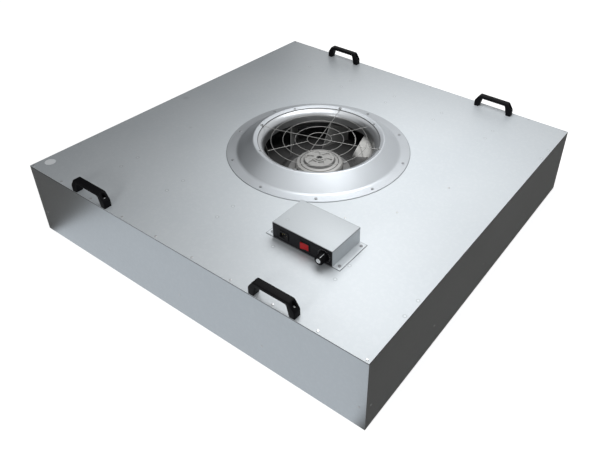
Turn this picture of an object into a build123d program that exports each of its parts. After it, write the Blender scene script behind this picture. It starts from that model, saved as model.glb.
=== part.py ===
"""Ceiling fan filter unit: a square sheet-metal casing that draws air down through a
spun inlet ring, past an external-rotor fan, and out through a pleated filter below.

Millimetres. +Z points up, away from the filtered side. The origin is the centre of
the casing's bottom rim. +X runs along the edge with the control box; that box, its
rocker switch and its speed knob face -Y.
"""

from build123d import *
from math import atan, cos, radians, sin, tan
import os

os.makedirs("parts", exist_ok=True)

# ---------------------------------------------------------------- driving dimensions
CASE_SIDE = 1175.0
CASE_HEIGHT = 230.0
SHEET = 1.2  # casing, rails and control box
TOP_FLANGE = 25.0
HEM = 12.0
CORNER_TAB = 20.0

COLLAR_FLANGE_R = 280.0
COLLAR_FOOT_R = 249.5
COLLAR_CREST_R = 199.5
COLLAR_CREST_H = 41.6
COLLAR_LIP_R = 186.0
COLLAR_LIP_H = 35.4
COLLAR_SHEET = 1.5
COLLAR_RIVET_CIRCLE = 266.0
INLET_HOLE_R = 212.0

THROAT_R = 169.0
BELL_ROLL_R = 28.0
BELL_BRIM_R = 194.0
BELL_BRIM_H = 37.4
BELL_SHEET = 1.2
BELL_END = -8.0

GUARD_WIRE = 2.2
GUARD_RINGS = (37.0, 74.0, 111.0, 147.0)
GUARD_SIDES = 36
GUARD_HEIGHT = 32.0  # wire centres above the top panel
GUARD_LONG_SPOKES = (17.0, 107.0)  # degrees, each one runs right across
GUARD_SHORT_SPOKES = (63.0, 243.0)  # degrees, each one stops at the inner ring

IMPELLER_R = 225.0
IMPELLER_SHEET = 1.5
BLADE_COUNT = 8
BLADE_THICKNESS = 1.8
BLADE_FOOT_R = 143.0
BLADE_TIP_Z = -9.0
SHROUD_EYE_R = 173.5
SHROUD_BEND = 9.0
SHROUD_EYE_Z = -3.0  # heights of the fan are counted from the top panel's face
SHROUD_RIM_Z = -34.0
PLATE_Z = -95.0
HUB_Z = -84.0

ROTOR_R = 75.0
ROTOR_CROWN_R = 46.0
ROTOR_TOP_Z = -40.0
ROTOR_SHOULDER_Z = -52.0
ROTOR_BOTTOM_Z = -118.0
ROTOR_FLANGE_R = 98.0
ROTOR_FLANGE = 4.0
SHAFT_R = 6.0
BEARING_R = 16.0
BEARING_WIDTH = 10.0
RUNNING_FIT = 0.05
DECK_Z = -134.0
DECK_SHEET = 2.0
HANGER_DISTANCE = 345.0
HANGER_LENGTH = 270.0
HANGER_ANGLE = -42.0

BOX_WIDTH = 188.0
BOX_DEPTH = 115.0
BOX_HEIGHT = 48.0
BOX_X = 261.0
BOX_Y = -346.5
BOX_FLANGE = 22.0
BOX_BEND_R = 1.6
BOX_SCREW_INSET = 12.5
BOX_SCREW_PITCH = 91.0
PANEL_DEPTH = 1.6
PANEL_INSET = 0.4  # the black front stands back inside the cover by this
INLET_X = 203.0
ROCKER_X = 270.0
KNOB_X = 329.0
CONTROL_Z = 21.0  # socket, rocker and knob centres above the top panel

HANDLE_LENGTH = 137.0
HANDLE_HEIGHT = 42.5
HANDLE_DEPTH = 22.0
HANDLE_BAR = 10.5
HANDLE_HOLE_PITCH = 117.0
HANDLE_X = 321.5
HANDLE_FRONT_Y = -576.4
HANDLE_REAR_Y = 568.0

FILTER_SIDE = 1166.0
FILTER_BOTTOM = 4.0
FILTER_DEPTH = 50.0
FILTER_CHANNEL = 15.0
FILTER_WALL = 1.5
GASKET = 6.0
PLEAT_COUNT = 84
PLEAT_PAPER = 1.2

RIVET_PITCH = 128.4
RIVET_EDGE = 7.0
SIDE_RIVET_PITCH = 284.0
SIDE_RIVET_Z = 70.0

# ---------------------------------------------------------------- worked-out places
HALF = CASE_SIDE / 2
TOP = CASE_HEIGHT
UNDER_TOP = TOP - SHEET
FILTER_TOP = FILTER_BOTTOM + FILTER_DEPTH
RAIL_Z = FILTER_TOP + GASKET
BOX_FRONT_Y = BOX_Y - BOX_DEPTH / 2
CONTROL_HEIGHT = TOP + CONTROL_Z
PANEL_BACK_Y = BOX_FRONT_Y + PANEL_INSET + PANEL_DEPTH
HANDLES = {
    "handle_front_left": (-HANDLE_X, HANDLE_FRONT_Y),
    "handle_front_right": (HANDLE_X, HANDLE_FRONT_Y),
    "handle_rear_left": (-HANDLE_X, HANDLE_REAR_Y),
    "handle_rear_right": (HANDLE_X, HANDLE_REAR_Y),
}
HANDLE_SCREW_PLACES = [
    (x + side * HANDLE_HOLE_PITCH / 2, y) for x, y in HANDLES.values() for side in (-1, 1)
]
BOX_SCREW_PLACES = [
    (BOX_X + side * (BOX_WIDTH / 2 + BOX_SCREW_INSET), BOX_Y + end * BOX_SCREW_PITCH / 2)
    for side in (-1, 1)
    for end in (-1, 1)
]
CABLE_PLACE = (BOX_X + 20.0, BOX_Y + 34.0)
HANDLE_SCREW_R = 2.5
BOX_SCREW_R = 1.9
CABLE_HOLE_R = 9.0
HOLE_PLAY = 0.15
FASTENER_SIDES = 8  # small screws, rivets and their holes are eight-sided here
BUSH_SIDES = 16  # so are other small or enclosed rounds, with more sides
DRUM_SIDES = 24
RIVET_ROW = [(k - 4.5) * RIVET_PITCH for k in range(10)]


def wall_plane(inward):
    """Section plane of one casing wall: x points inward, y up, and z along the wall."""
    a = radians(inward)
    return Plane(
        origin=(-HALF * cos(a), -HALF * sin(a), 0),
        x_dir=(cos(a), sin(a), 0),
        z_dir=(sin(a), -cos(a), 0),
    )


def outer_plane(inward, along, height):
    """Plane on a casing wall's outer face, looking out, at a place along the wall."""
    a = radians(inward)
    x = -HALF * cos(a) + along * sin(a)
    y = -HALF * sin(a) - along * cos(a)
    return Plane(origin=(x, y, height), z_dir=(-cos(a), -sin(a), 0))


# ---------------------------------------------------------------- casing
with BuildPart() as top_panel:
    with BuildSketch(Plane.XY.offset(UNDER_TOP)):
        Rectangle(CASE_SIDE, CASE_SIDE)
        Circle(INLET_HOLE_R, mode=Mode.SUBTRACT)
        with Locations(CABLE_PLACE):
            RegularPolygon(CABLE_HOLE_R, BUSH_SIDES, mode=Mode.SUBTRACT)
        with Locations(*HANDLE_SCREW_PLACES):
            RegularPolygon(HANDLE_SCREW_R + HOLE_PLAY, FASTENER_SIDES, mode=Mode.SUBTRACT)
        with Locations(*BOX_SCREW_PLACES):
            RegularPolygon(BOX_SCREW_R + HOLE_PLAY, FASTENER_SIDES, mode=Mode.SUBTRACT)
    extrude(amount=SHEET)
top_panel.part.label = "top_panel"
export_step(top_panel.part, "parts/top_panel.step")

# Each wall is one folded sheet: a web, a flange under the top panel and a hem below.
# The front and rear webs cover the ends of the side ones, whose tabs lap behind them.
FLANGE_END = HALF - 3.5
TAB_GAP = 2.0
HEM_GAP = 0.2
WALLS = {"front_panel": 90, "rear_panel": 270, "left_panel": 0, "right_panel": 180}
for name, inward in WALLS.items():
    is_long = inward in (90, 270)
    web_half = HALF if is_long else HALF - SHEET
    flange_half = FLANGE_END if is_long else HALF - SHEET - TOP_FLANGE - TAB_GAP
    hem_half = FLANGE_END if is_long else HALF - 2 * SHEET - HEM_GAP
    with BuildPart() as wall:
        with BuildSketch(wall_plane(inward)):
            with Locations((SHEET / 2, UNDER_TOP / 2)):
                Rectangle(SHEET, UNDER_TOP)
        extrude(amount=web_half, both=True)
        with BuildSketch(wall_plane(inward)):
            with Locations((SHEET + TOP_FLANGE / 2, UNDER_TOP - SHEET / 2)):
                Rectangle(TOP_FLANGE, SHEET)
        extrude(amount=flange_half, both=True)
        with BuildSketch(wall_plane(inward)):
            with Locations((1.5 * SHEET, HEM / 2)):
                Rectangle(SHEET, HEM)
        extrude(amount=hem_half, both=True)
        if is_long:
            y = HANDLE_FRONT_Y if inward == 90 else HANDLE_REAR_Y
            with BuildSketch(Plane.XY.offset(UNDER_TOP)):
                with Locations(*[p for p in HANDLE_SCREW_PLACES if p[1] == y]):
                    RegularPolygon(HANDLE_SCREW_R + HOLE_PLAY, FASTENER_SIDES)
            extrude(amount=-2 * SHEET, mode=Mode.SUBTRACT)
        else:
            for end in (-1, 1):
                edge = end * (HALF - 1.5 * SHEET)
                with BuildSketch(wall_plane(inward).offset(edge)):
                    with Locations((SHEET + CORNER_TAB / 2, UNDER_TOP / 2 + HEM / 2)):
                        Rectangle(CORNER_TAB, UNDER_TOP - HEM - 2 * (SHEET + TAB_GAP))
                extrude(amount=SHEET / 2, both=True)
    wall.part.label = name
    export_step(wall.part, f"parts/{name}.step")

# Angle rails riveted inside the walls: the filter's gasket closes up against them.
RAIL_LEG = 21.0
LONG_RAIL = HALF - SHEET - CORNER_TAB - TAB_GAP
SHORT_RAIL = HALF - 2 * SHEET - RAIL_LEG - 2 * TAB_GAP
with BuildPart() as filter_rails:
    for inward in WALLS.values():
        reach = LONG_RAIL if inward in (90, 270) else SHORT_RAIL
        with BuildSketch(wall_plane(inward)):
            with BuildLine():
                Polyline(
                    (SHEET, RAIL_Z),
                    (SHEET + RAIL_LEG, RAIL_Z),
                    (SHEET + RAIL_LEG, RAIL_Z + SHEET),
                    (2 * SHEET, RAIL_Z + SHEET),
                    (2 * SHEET, RAIL_Z + RAIL_LEG),
                    (SHEET, RAIL_Z + RAIL_LEG),
                    close=True,
                )
            make_face()
        extrude(amount=reach, both=True)
filter_rails.part.label = "filter_rails"
export_step(filter_rails.part, "parts/filter_rails.step")

# Two hat-section stiffeners, spot-welded under the top panel along X.
STIFFENER_Y = 404.0
STIFFENER_WIDTH = 74.0
STIFFENER_DROP = 25.0
STIFFENER_CROWN = 40.0
with BuildPart() as top_stiffeners:
    for y in (-STIFFENER_Y, STIFFENER_Y):
        with BuildSketch(Plane.YZ):
            with BuildLine():
                Polyline(
                    (y - STIFFENER_WIDTH / 2, UNDER_TOP),
                    (y - STIFFENER_CROWN / 2, UNDER_TOP),
                    (y - STIFFENER_CROWN / 2, UNDER_TOP - STIFFENER_DROP),
                    (y + STIFFENER_CROWN / 2, UNDER_TOP - STIFFENER_DROP),
                    (y + STIFFENER_CROWN / 2, UNDER_TOP),
                    (y + STIFFENER_WIDTH / 2, UNDER_TOP),
                )
                offset(amount=SHEET, side=Side.RIGHT, kind=Kind.INTERSECTION)
            make_face()
        extrude(amount=HALF - SHEET - TOP_FLANGE - TAB_GAP, both=True)
top_stiffeners.part.label = "top_stiffeners"
export_step(top_stiffeners.part, "parts/top_stiffeners.step")

# Low blind-rivet heads on the front and rear edges, with three for clips underneath.
CLIP_RIVET_PLACES = [(268.0, -233.0), (366.0, -129.0), (423.0, 58.0)]
RIVET_HEAD_R = 3.4
RIVET_HEAD = 1.0
SIDE_RIVET_HEAD = 0.6
with BuildPart() as panel_rivets:
    with BuildSketch(Plane.XY.offset(TOP)):
        with Locations(*[(x, y) for x in RIVET_ROW for y in (RIVET_EDGE - HALF, HALF - RIVET_EDGE)]):
            RegularPolygon(RIVET_HEAD_R, FASTENER_SIDES)
        with Locations(*CLIP_RIVET_PLACES):
            RegularPolygon(RIVET_HEAD_R, FASTENER_SIDES)
    extrude(amount=RIVET_HEAD)
panel_rivets.part.label = "panel_rivets"
export_step(panel_rivets.part, "parts/panel_rivets.step")

with BuildPart() as side_rivets:
    for inward in WALLS.values():
        for k in range(-2, 3):
            with BuildSketch(outer_plane(inward, k * SIDE_RIVET_PITCH, SIDE_RIVET_Z)):
                RegularPolygon(RIVET_HEAD_R, FASTENER_SIDES)
            extrude(amount=SIDE_RIVET_HEAD)
side_rivets.part.label = "side_rivets"
export_step(side_rivets.part, "parts/side_rivets.step")

# Round adhesive dot in the front left corner.
STICKER_PLACE = (-560.0, -542.0)
STICKER_R = 15.0
STICKER_FILM = 0.2
with BuildPart() as round_sticker:
    with BuildSketch(Plane.XY.offset(TOP)):
        with Locations(STICKER_PLACE):
            RegularPolygon(STICKER_R, DRUM_SIDES)
    extrude(amount=STICKER_FILM)
round_sticker.part.label = "round_sticker"
export_step(round_sticker.part, "parts/round_sticker.step")

# ---------------------------------------------------------------- inlet
# Spun collar: a flat flange, a cone up to a rolled crest, and a lip over the bell.
CREST_HALF = 3.0  # half the width of the rolled crest
CONE_SLOPE = (COLLAR_CREST_H - COLLAR_SHEET) / (COLLAR_FOOT_R - COLLAR_CREST_R)
LIP_SLOPE = (COLLAR_CREST_H - COLLAR_LIP_H) / (COLLAR_CREST_R - COLLAR_LIP_R)
CREST_DROP = 1.2
with BuildPart() as inlet_collar:
    with BuildSketch(Plane.XZ):
        with BuildLine():
            Polyline(
                (COLLAR_FLANGE_R, TOP + COLLAR_SHEET),
                (COLLAR_FOOT_R, TOP + COLLAR_SHEET),
                (COLLAR_CREST_R + CREST_HALF, TOP + COLLAR_CREST_H - CONE_SLOPE * CREST_HALF),
                (COLLAR_CREST_R, TOP + COLLAR_CREST_H - CREST_DROP),
                (COLLAR_CREST_R - CREST_HALF, TOP + COLLAR_CREST_H - LIP_SLOPE * CREST_HALF),
                (COLLAR_LIP_R, TOP + COLLAR_LIP_H),
            )
            offset(amount=COLLAR_SHEET, side=Side.LEFT, kind=Kind.INTERSECTION)
        make_face()
    revolve(axis=Axis.Z)
inlet_collar.part.label = "inlet_collar"
export_step(inlet_collar.part, "parts/inlet_collar.step")

# Bell mouth: it starts under the collar's lip, rolls over and drops into the fan's eye.
BELL_SLOPE = radians(25)  # the brim's fall towards the eye
BELL_BANDS = 4
roll_start = THROAT_R + BELL_ROLL_R * (1 - sin(BELL_SLOPE))
roll_top = TOP + BELL_BRIM_H - (BELL_BRIM_R - roll_start) * tan(BELL_SLOPE)
roll_centre = roll_top - BELL_ROLL_R * cos(BELL_SLOPE)
roll = []
for k in range(BELL_BANDS + 1):
    a = BELL_SLOPE + (radians(90) - BELL_SLOPE) * k / BELL_BANDS
    roll.append((THROAT_R + BELL_ROLL_R * (1 - sin(a)), roll_centre + BELL_ROLL_R * cos(a)))
with BuildPart() as bell_mouth:
    with BuildSketch(Plane.XZ):
        with BuildLine():
            Polyline((BELL_BRIM_R, TOP + BELL_BRIM_H), *roll, (THROAT_R, TOP + BELL_END))
            offset(amount=BELL_SHEET, side=Side.LEFT, kind=Kind.INTERSECTION)
        make_face()
    revolve(axis=Axis.Z)
bell_mouth.part.label = "bell_mouth"
export_step(bell_mouth.part, "parts/bell_mouth.step")

COLLAR_RIVET_COUNT = 10
COLLAR_RIVET_R = 4.4
COLLAR_RIVET_HEAD = 1.6
with BuildPart() as collar_rivets:
    with BuildSketch(Plane.XY.offset(TOP + COLLAR_SHEET)):
        with PolarLocations(COLLAR_RIVET_CIRCLE, COLLAR_RIVET_COUNT, start_angle=18):
            RegularPolygon(COLLAR_RIVET_R, FASTENER_SIDES)
    extrude(amount=COLLAR_RIVET_HEAD, taper=25)
collar_rivets.part.label = "collar_rivets"
export_step(collar_rivets.part, "parts/collar_rivets.step")

# Wire guard: square-section rings carried by spokes that rest on the collar's lip.
GUARD_Z = TOP + GUARD_HEIGHT
LIP_ANGLE = atan((COLLAR_CREST_H - COLLAR_LIP_H) / (COLLAR_CREST_R - COLLAR_LIP_R))
LIP_FASTENER_R = 191.2
SPOKE_REACH = 186.4
SPOKE_LIFT = 0.4
SPOKE_BEND_R = GUARD_RINGS[-1] + 6
SPOKE_TOP_Z = TOP + COLLAR_LIP_H + SPOKE_LIFT + GUARD_WIRE
SHORT_REACH = 168.0
EYE_PAD_R = 5.5
EYE_PAD = 1.0
GUARD_SCREW_R = 4.0
GUARD_SCREW_HEAD = 2.2
LIP_REST = 0.05  # a flat foot clears the curved lip by this


def lip_plane(angle, lift):
    """Plane lying on the collar's lip at an angle round it, lifted off by an amount."""
    a = radians(angle)
    height = TOP + COLLAR_LIP_H + (LIP_FASTENER_R - COLLAR_LIP_R) * tan(LIP_ANGLE)
    outward = (-sin(LIP_ANGLE) * cos(a), -sin(LIP_ANGLE) * sin(a), cos(LIP_ANGLE))
    on_lip = Plane(origin=(LIP_FASTENER_R * cos(a), LIP_FASTENER_R * sin(a), height), z_dir=outward)
    return on_lip.offset(lift)


with BuildPart() as inlet_guard:
    for ring_r in GUARD_RINGS:
        with BuildSketch(Plane.XY.offset(GUARD_Z - GUARD_WIRE)):
            RegularPolygon(ring_r + GUARD_WIRE / 2, GUARD_SIDES)
            RegularPolygon(ring_r - GUARD_WIRE / 2, GUARD_SIDES, mode=Mode.SUBTRACT)
        extrude(amount=GUARD_WIRE)
    for angle in GUARD_LONG_SPOKES:
        for turn in (0, 180):
            a = radians(angle + turn)
            out = Plane(origin=(0, 0, 0), x_dir=(cos(a), sin(a), 0), z_dir=(sin(a), -cos(a), 0))
            with BuildSketch(out):
                with BuildLine():
                    Polyline((0, GUARD_Z), (SPOKE_BEND_R, GUARD_Z), (SPOKE_REACH, SPOKE_TOP_Z))
                    offset(amount=GUARD_WIRE, side=Side.RIGHT, kind=Kind.INTERSECTION)
                make_face()
            extrude(amount=GUARD_WIRE / 2, both=True)
            with BuildSketch(lip_plane(angle + turn, LIP_REST)):
                RegularPolygon(EYE_PAD_R, FASTENER_SIDES)
            extrude(amount=EYE_PAD)
    for angle in GUARD_SHORT_SPOKES:
        with BuildSketch(Plane.XY.offset(GUARD_Z - GUARD_WIRE)):
            with PolarLocations((GUARD_RINGS[0] + SHORT_REACH) / 2, 1, start_angle=angle):
                Rectangle(SHORT_REACH - GUARD_RINGS[0], GUARD_WIRE)
        extrude(amount=GUARD_WIRE)
inlet_guard.part.label = "inlet_guard"
export_step(inlet_guard.part, "parts/inlet_guard.step")

with BuildPart() as guard_screws:
    for angle in GUARD_LONG_SPOKES:
        for turn in (0, 180):
            with BuildSketch(lip_plane(angle + turn, LIP_REST + EYE_PAD)):
                RegularPolygon(GUARD_SCREW_R, FASTENER_SIDES)
            extrude(amount=GUARD_SCREW_HEAD)
guard_screws.part.label = "guard_screws"
export_step(guard_screws.part, "parts/guard_screws.step")

# Rivets that join the bell's brim to the underside of the collar's lip.
BELL_RIVET_ANGLES = (62.5, 152.5, 242.5, 332.5)
with BuildPart() as bell_rivets:
    for angle in BELL_RIVET_ANGLES:
        with BuildSketch(lip_plane(angle, LIP_REST)):
            RegularPolygon(RIVET_HEAD_R, FASTENER_SIDES)
        extrude(amount=RIVET_HEAD)
bell_rivets.part.label = "bell_rivets"
export_step(bell_rivets.part, "parts/bell_rivets.step")

# ---------------------------------------------------------------- fan
# Shroud: from the eye, just outside the bell, out to the rim.
SHROUD_RIM = (IMPELLER_R, TOP + SHROUD_RIM_Z)
SHROUD_FALL = tan(radians(15))
SHROUD_CORNER_Z = SHROUD_RIM_Z + (IMPELLER_R - SHROUD_EYE_R) * SHROUD_FALL
SHROUD_SECTION = [
    (SHROUD_EYE_R, TOP + SHROUD_CORNER_Z + SHROUD_BEND),
    (SHROUD_EYE_R + SHROUD_BEND, TOP + SHROUD_CORNER_Z - SHROUD_BEND * SHROUD_FALL),
    SHROUD_RIM,
]
with BuildPart() as impeller_shroud:
    with BuildSketch(Plane.XZ):
        with BuildLine():
            Polyline((SHROUD_EYE_R, TOP + SHROUD_EYE_Z), *SHROUD_SECTION)
            offset(amount=IMPELLER_SHEET, side=Side.LEFT, kind=Kind.INTERSECTION)
        make_face()
    revolve(axis=Axis.Z)
impeller_shroud.part.label = "impeller_shroud"
export_step(impeller_shroud.part, "parts/impeller_shroud.step")

# Back plate with a raised hub that the rotor's flange sits on.
HUB_FOOT_R = 132.0
HUB_TOP_R = 114.0
HUB_BORE_R = ROTOR_R + 2.5
with BuildPart() as impeller_back_plate:
    with BuildSketch(Plane.XZ):
        with BuildLine():
            Polyline(
                (IMPELLER_R, TOP + PLATE_Z),
                (HUB_FOOT_R, TOP + PLATE_Z),
                (HUB_TOP_R, TOP + HUB_Z),
                (HUB_BORE_R, TOP + HUB_Z),
            )
            offset(amount=DECK_SHEET, side=Side.LEFT, kind=Kind.INTERSECTION)
        make_face()
    revolve(axis=Axis.Z)
impeller_back_plate.part.label = "impeller_back_plate"
export_step(impeller_back_plate.part, "parts/impeller_back_plate.step")

# Backward-curved blades: arcs in plan, cut to the shroud above and to a raked
# leading edge inside.
BLADE_START = 82.5
BLADE_SWEEP = 27.0
BLADE_BOW = 9.0
TRIM = 12.0  # the arcs run past both ends by this before they are cut
foot = Vector(BLADE_FOOT_R - TRIM, 0)
tail = Vector(IMPELLER_R + TRIM / 2, 0).rotate(Axis.Z, -BLADE_SWEEP)
middle = (foot + tail) / 2
bow_side = (tail - foot).rotate(Axis.Z, 90).normalized() * BLADE_BOW
with BuildPart() as blade:
    with BuildSketch(Plane.XY.offset(TOP + PLATE_Z)):
        with BuildLine(Plane.XY):
            ThreePointArc(foot, middle + bow_side, tail)
            offset(amount=BLADE_THICKNESS, side=Side.LEFT)
        make_face()
    extrude(amount=-PLATE_Z)
    with BuildSketch(Plane.XZ):
        with BuildLine():
            Polyline(
                (SHROUD_EYE_R, TOP + BLADE_TIP_Z),
                *SHROUD_SECTION,
                (IMPELLER_R, TOP + PLATE_Z),
                (BLADE_FOOT_R, TOP + PLATE_Z),
                close=True,
            )
        make_face()
    revolve(axis=Axis.Z, mode=Mode.INTERSECT)
with BuildPart() as impeller_blades:
    with PolarLocations(0, BLADE_COUNT, start_angle=BLADE_START):
        add(blade.part)
impeller_blades.part.label = "impeller_blades"
export_step(impeller_blades.part, "parts/impeller_blades.step")

# Cast rotor: an upturned cup with a mounting flange, a stepped crown and six pockets.
CUP_R = 66.0
CUP_ROOF = 8.0
BOSS_R = 14.0
BOSS_TOP_Z = -36.5
POCKET_DEPTH = 3.5
POCKET = (20.0, 22.0)
POCKET_SLANT = 80.0
CROWN_STEP = 4.0
CROWN_RISE = 5.0
SHOULDER_WIDTH = 5.0
SHOULDER_FALL = 7.0
with BuildPart() as motor_rotor:
    with BuildSketch(Plane.XZ):
        with BuildLine():
            Polyline(
                (SHAFT_R, TOP + BOSS_TOP_Z),
                (BOSS_R, TOP + BOSS_TOP_Z),
                (BOSS_R, TOP + ROTOR_TOP_Z),
                (ROTOR_CROWN_R, TOP + ROTOR_TOP_Z),
                (ROTOR_CROWN_R + CROWN_STEP, TOP + ROTOR_SHOULDER_Z + CROWN_RISE),
                (ROTOR_R - SHOULDER_WIDTH, TOP + ROTOR_SHOULDER_Z),
                (ROTOR_R, TOP + ROTOR_SHOULDER_Z - SHOULDER_FALL),
                (ROTOR_R, TOP + HUB_Z + ROTOR_FLANGE),
                (ROTOR_FLANGE_R, TOP + HUB_Z + ROTOR_FLANGE),
                (ROTOR_FLANGE_R, TOP + HUB_Z),
                (ROTOR_R, TOP + HUB_Z),
                (ROTOR_R, TOP + ROTOR_BOTTOM_Z),
                (SHAFT_R, TOP + ROTOR_BOTTOM_Z),
                close=True,
            )
        make_face()
    revolve(axis=Axis.Z)
    with BuildSketch(Plane.XY.offset(TOP + ROTOR_BOTTOM_Z)):
        RegularPolygon(CUP_R, DRUM_SIDES)
    extrude(amount=ROTOR_SHOULDER_Z - CUP_ROOF - ROTOR_BOTTOM_Z, mode=Mode.SUBTRACT)
    with BuildSketch(Plane.XY.offset(TOP + ROTOR_TOP_Z)):
        with PolarLocations((BOSS_R + ROTOR_CROWN_R) / 2, 6, start_angle=20):
            Trapezoid(*POCKET, POCKET_SLANT, rotation=-90)
    extrude(amount=-POCKET_DEPTH, mode=Mode.SUBTRACT)
motor_rotor.part.label = "motor_rotor"
export_step(motor_rotor.part, "parts/motor_rotor.step")

ROTOR_SCREW_CIRCLE = 87.0
HEX_R = 5.0
HEX_HEAD = 4.0
with BuildPart() as rotor_screws:
    with BuildSketch(Plane.XY.offset(TOP + HUB_Z + ROTOR_FLANGE)):
        with PolarLocations(ROTOR_SCREW_CIRCLE, 6):
            RegularPolygon(HEX_R, 6)
    extrude(amount=HEX_HEAD)
rotor_screws.part.label = "rotor_screws"
export_step(rotor_screws.part, "parts/rotor_screws.step")

# Steel ring of the rotor: the stator drives it from inside.
AIR_GAP = 1.3
RING_WALL = 5.0
RING_TOP_Z = -68.0
RING_BOTTOM_Z = -112.0
with BuildPart() as rotor_ring:
    with BuildSketch(Plane.XY.offset(TOP + RING_BOTTOM_Z)):
        RegularPolygon(CUP_R, DRUM_SIDES)
        RegularPolygon(CUP_R - RING_WALL, DRUM_SIDES, mode=Mode.SUBTRACT)
    extrude(amount=RING_TOP_Z - RING_BOTTOM_Z)
rotor_ring.part.label = "rotor_ring"
export_step(rotor_ring.part, "parts/rotor_ring.step")

SHAFT_TOP_Z = -43.0
SHAFT_END_Z = -127.0
with BuildPart() as motor_shaft:
    with BuildSketch(Plane.XY.offset(TOP + SHAFT_END_Z)):
        Circle(SHAFT_R)
    extrude(amount=SHAFT_TOP_Z - SHAFT_END_Z)
motor_shaft.part.label = "motor_shaft"
export_step(motor_shaft.part, "parts/motor_shaft.step")

# Stator carrier: a flange bolted to the deck and a tube that holds both bearings.
STATOR_FLANGE_R = 92.0
STATOR_FLANGE = 8.0
TUBE_R = 22.0
TUBE_CLEARANCE = 2.0
UPPER_BEARING_Z = -78.0
LOWER_BEARING_Z = -118.0
with BuildPart() as stator_carrier:
    with BuildSketch(Plane.XY.offset(TOP + DECK_Z)):
        RegularPolygon(STATOR_FLANGE_R, DRUM_SIDES)
    extrude(amount=STATOR_FLANGE)
    with BuildSketch(Plane.XY.offset(TOP + DECK_Z + STATOR_FLANGE)):
        RegularPolygon(TUBE_R, BUSH_SIDES)
    extrude(amount=UPPER_BEARING_Z - DECK_Z - STATOR_FLANGE)
    with BuildSketch(Plane.XY.offset(TOP + UPPER_BEARING_Z)):
        RegularPolygon(BEARING_R, BUSH_SIDES)
    extrude(amount=-BEARING_WIDTH, mode=Mode.SUBTRACT)
    with BuildSketch(Plane.XY.offset(TOP + LOWER_BEARING_Z)):
        RegularPolygon(BEARING_R, BUSH_SIDES)
    extrude(amount=-BEARING_WIDTH, mode=Mode.SUBTRACT)
    with BuildSketch(Plane.XY.offset(TOP + UPPER_BEARING_Z)):
        RegularPolygon(SHAFT_R + TUBE_CLEARANCE, BUSH_SIDES)
    extrude(amount=LOWER_BEARING_Z - UPPER_BEARING_Z, mode=Mode.SUBTRACT)
stator_carrier.part.label = "stator_carrier"
export_step(stator_carrier.part, "parts/stator_carrier.step")

for name, top_z in (("upper_bearing", UPPER_BEARING_Z), ("lower_bearing", LOWER_BEARING_Z)):
    with BuildPart() as bearing:
        with BuildSketch(Plane.XY.offset(TOP + top_z - BEARING_WIDTH)):
            RegularPolygon(BEARING_R, BUSH_SIDES)
            Circle(SHAFT_R + RUNNING_FIT, mode=Mode.SUBTRACT)
        extrude(amount=BEARING_WIDTH)
    bearing.part.label = name
    export_step(bearing.part, f"parts/{name}.step")

# Laminated stator core: a ring with twelve slots that the windings lie in.
CORE_TOP_Z = -71.0
CORE_BOTTOM_Z = -109.0
SLOT_COUNT = 12
SLOT_CIRCLE = 46.0
SLOT = (20.0, 9.0)
COIL = (19.0, 8.0)
COIL_END_R = 55.0
COIL_END_BORE_R = 38.0
COIL_END = 6.0
with BuildPart() as stator_core:
    with BuildSketch(Plane.XY.offset(TOP + CORE_BOTTOM_Z)):
        RegularPolygon(CUP_R - RING_WALL - AIR_GAP, DRUM_SIDES)
        RegularPolygon(TUBE_R, BUSH_SIDES, mode=Mode.SUBTRACT)
        with PolarLocations(SLOT_CIRCLE, SLOT_COUNT):
            Rectangle(*SLOT, mode=Mode.SUBTRACT)
    extrude(amount=CORE_TOP_Z - CORE_BOTTOM_Z)
stator_core.part.label = "stator_core"
export_step(stator_core.part, "parts/stator_core.step")

with BuildPart() as stator_windings:
    with BuildSketch(Plane.XY.offset(TOP + CORE_BOTTOM_Z)):
        with PolarLocations(SLOT_CIRCLE, SLOT_COUNT):
            Rectangle(*COIL)
    extrude(amount=CORE_TOP_Z - CORE_BOTTOM_Z)
    for start, rise in ((CORE_TOP_Z, COIL_END), (CORE_BOTTOM_Z, -COIL_END)):
        with BuildSketch(Plane.XY.offset(TOP + start)):
            RegularPolygon(COIL_END_R, SLOT_COUNT)
            RegularPolygon(COIL_END_BORE_R, SLOT_COUNT, mode=Mode.SUBTRACT)
        extrude(amount=rise)
stator_windings.part.label = "stator_windings"
export_step(stator_windings.part, "parts/stator_windings.step")

# Fan deck: an eight-sided plate that carries the motor, hung by four folded hangers.
DECK_SIDE = 2 * HANGER_DISTANCE
DECK_HOLE_R = 12.0
with BuildPart() as fan_deck:
    with BuildSketch(Plane.XY.offset(TOP + DECK_Z)):
        Rectangle(DECK_SIDE, DECK_SIDE, rotation=HANGER_ANGLE)
        Rectangle(DECK_SIDE, DECK_SIDE, rotation=HANGER_ANGLE + 45, mode=Mode.INTERSECT)
        RegularPolygon(DECK_HOLE_R, BUSH_SIDES, mode=Mode.SUBTRACT)
    extrude(amount=-DECK_SHEET)
fan_deck.part.label = "fan_deck"
export_step(fan_deck.part, "parts/fan_deck.step")

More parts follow.
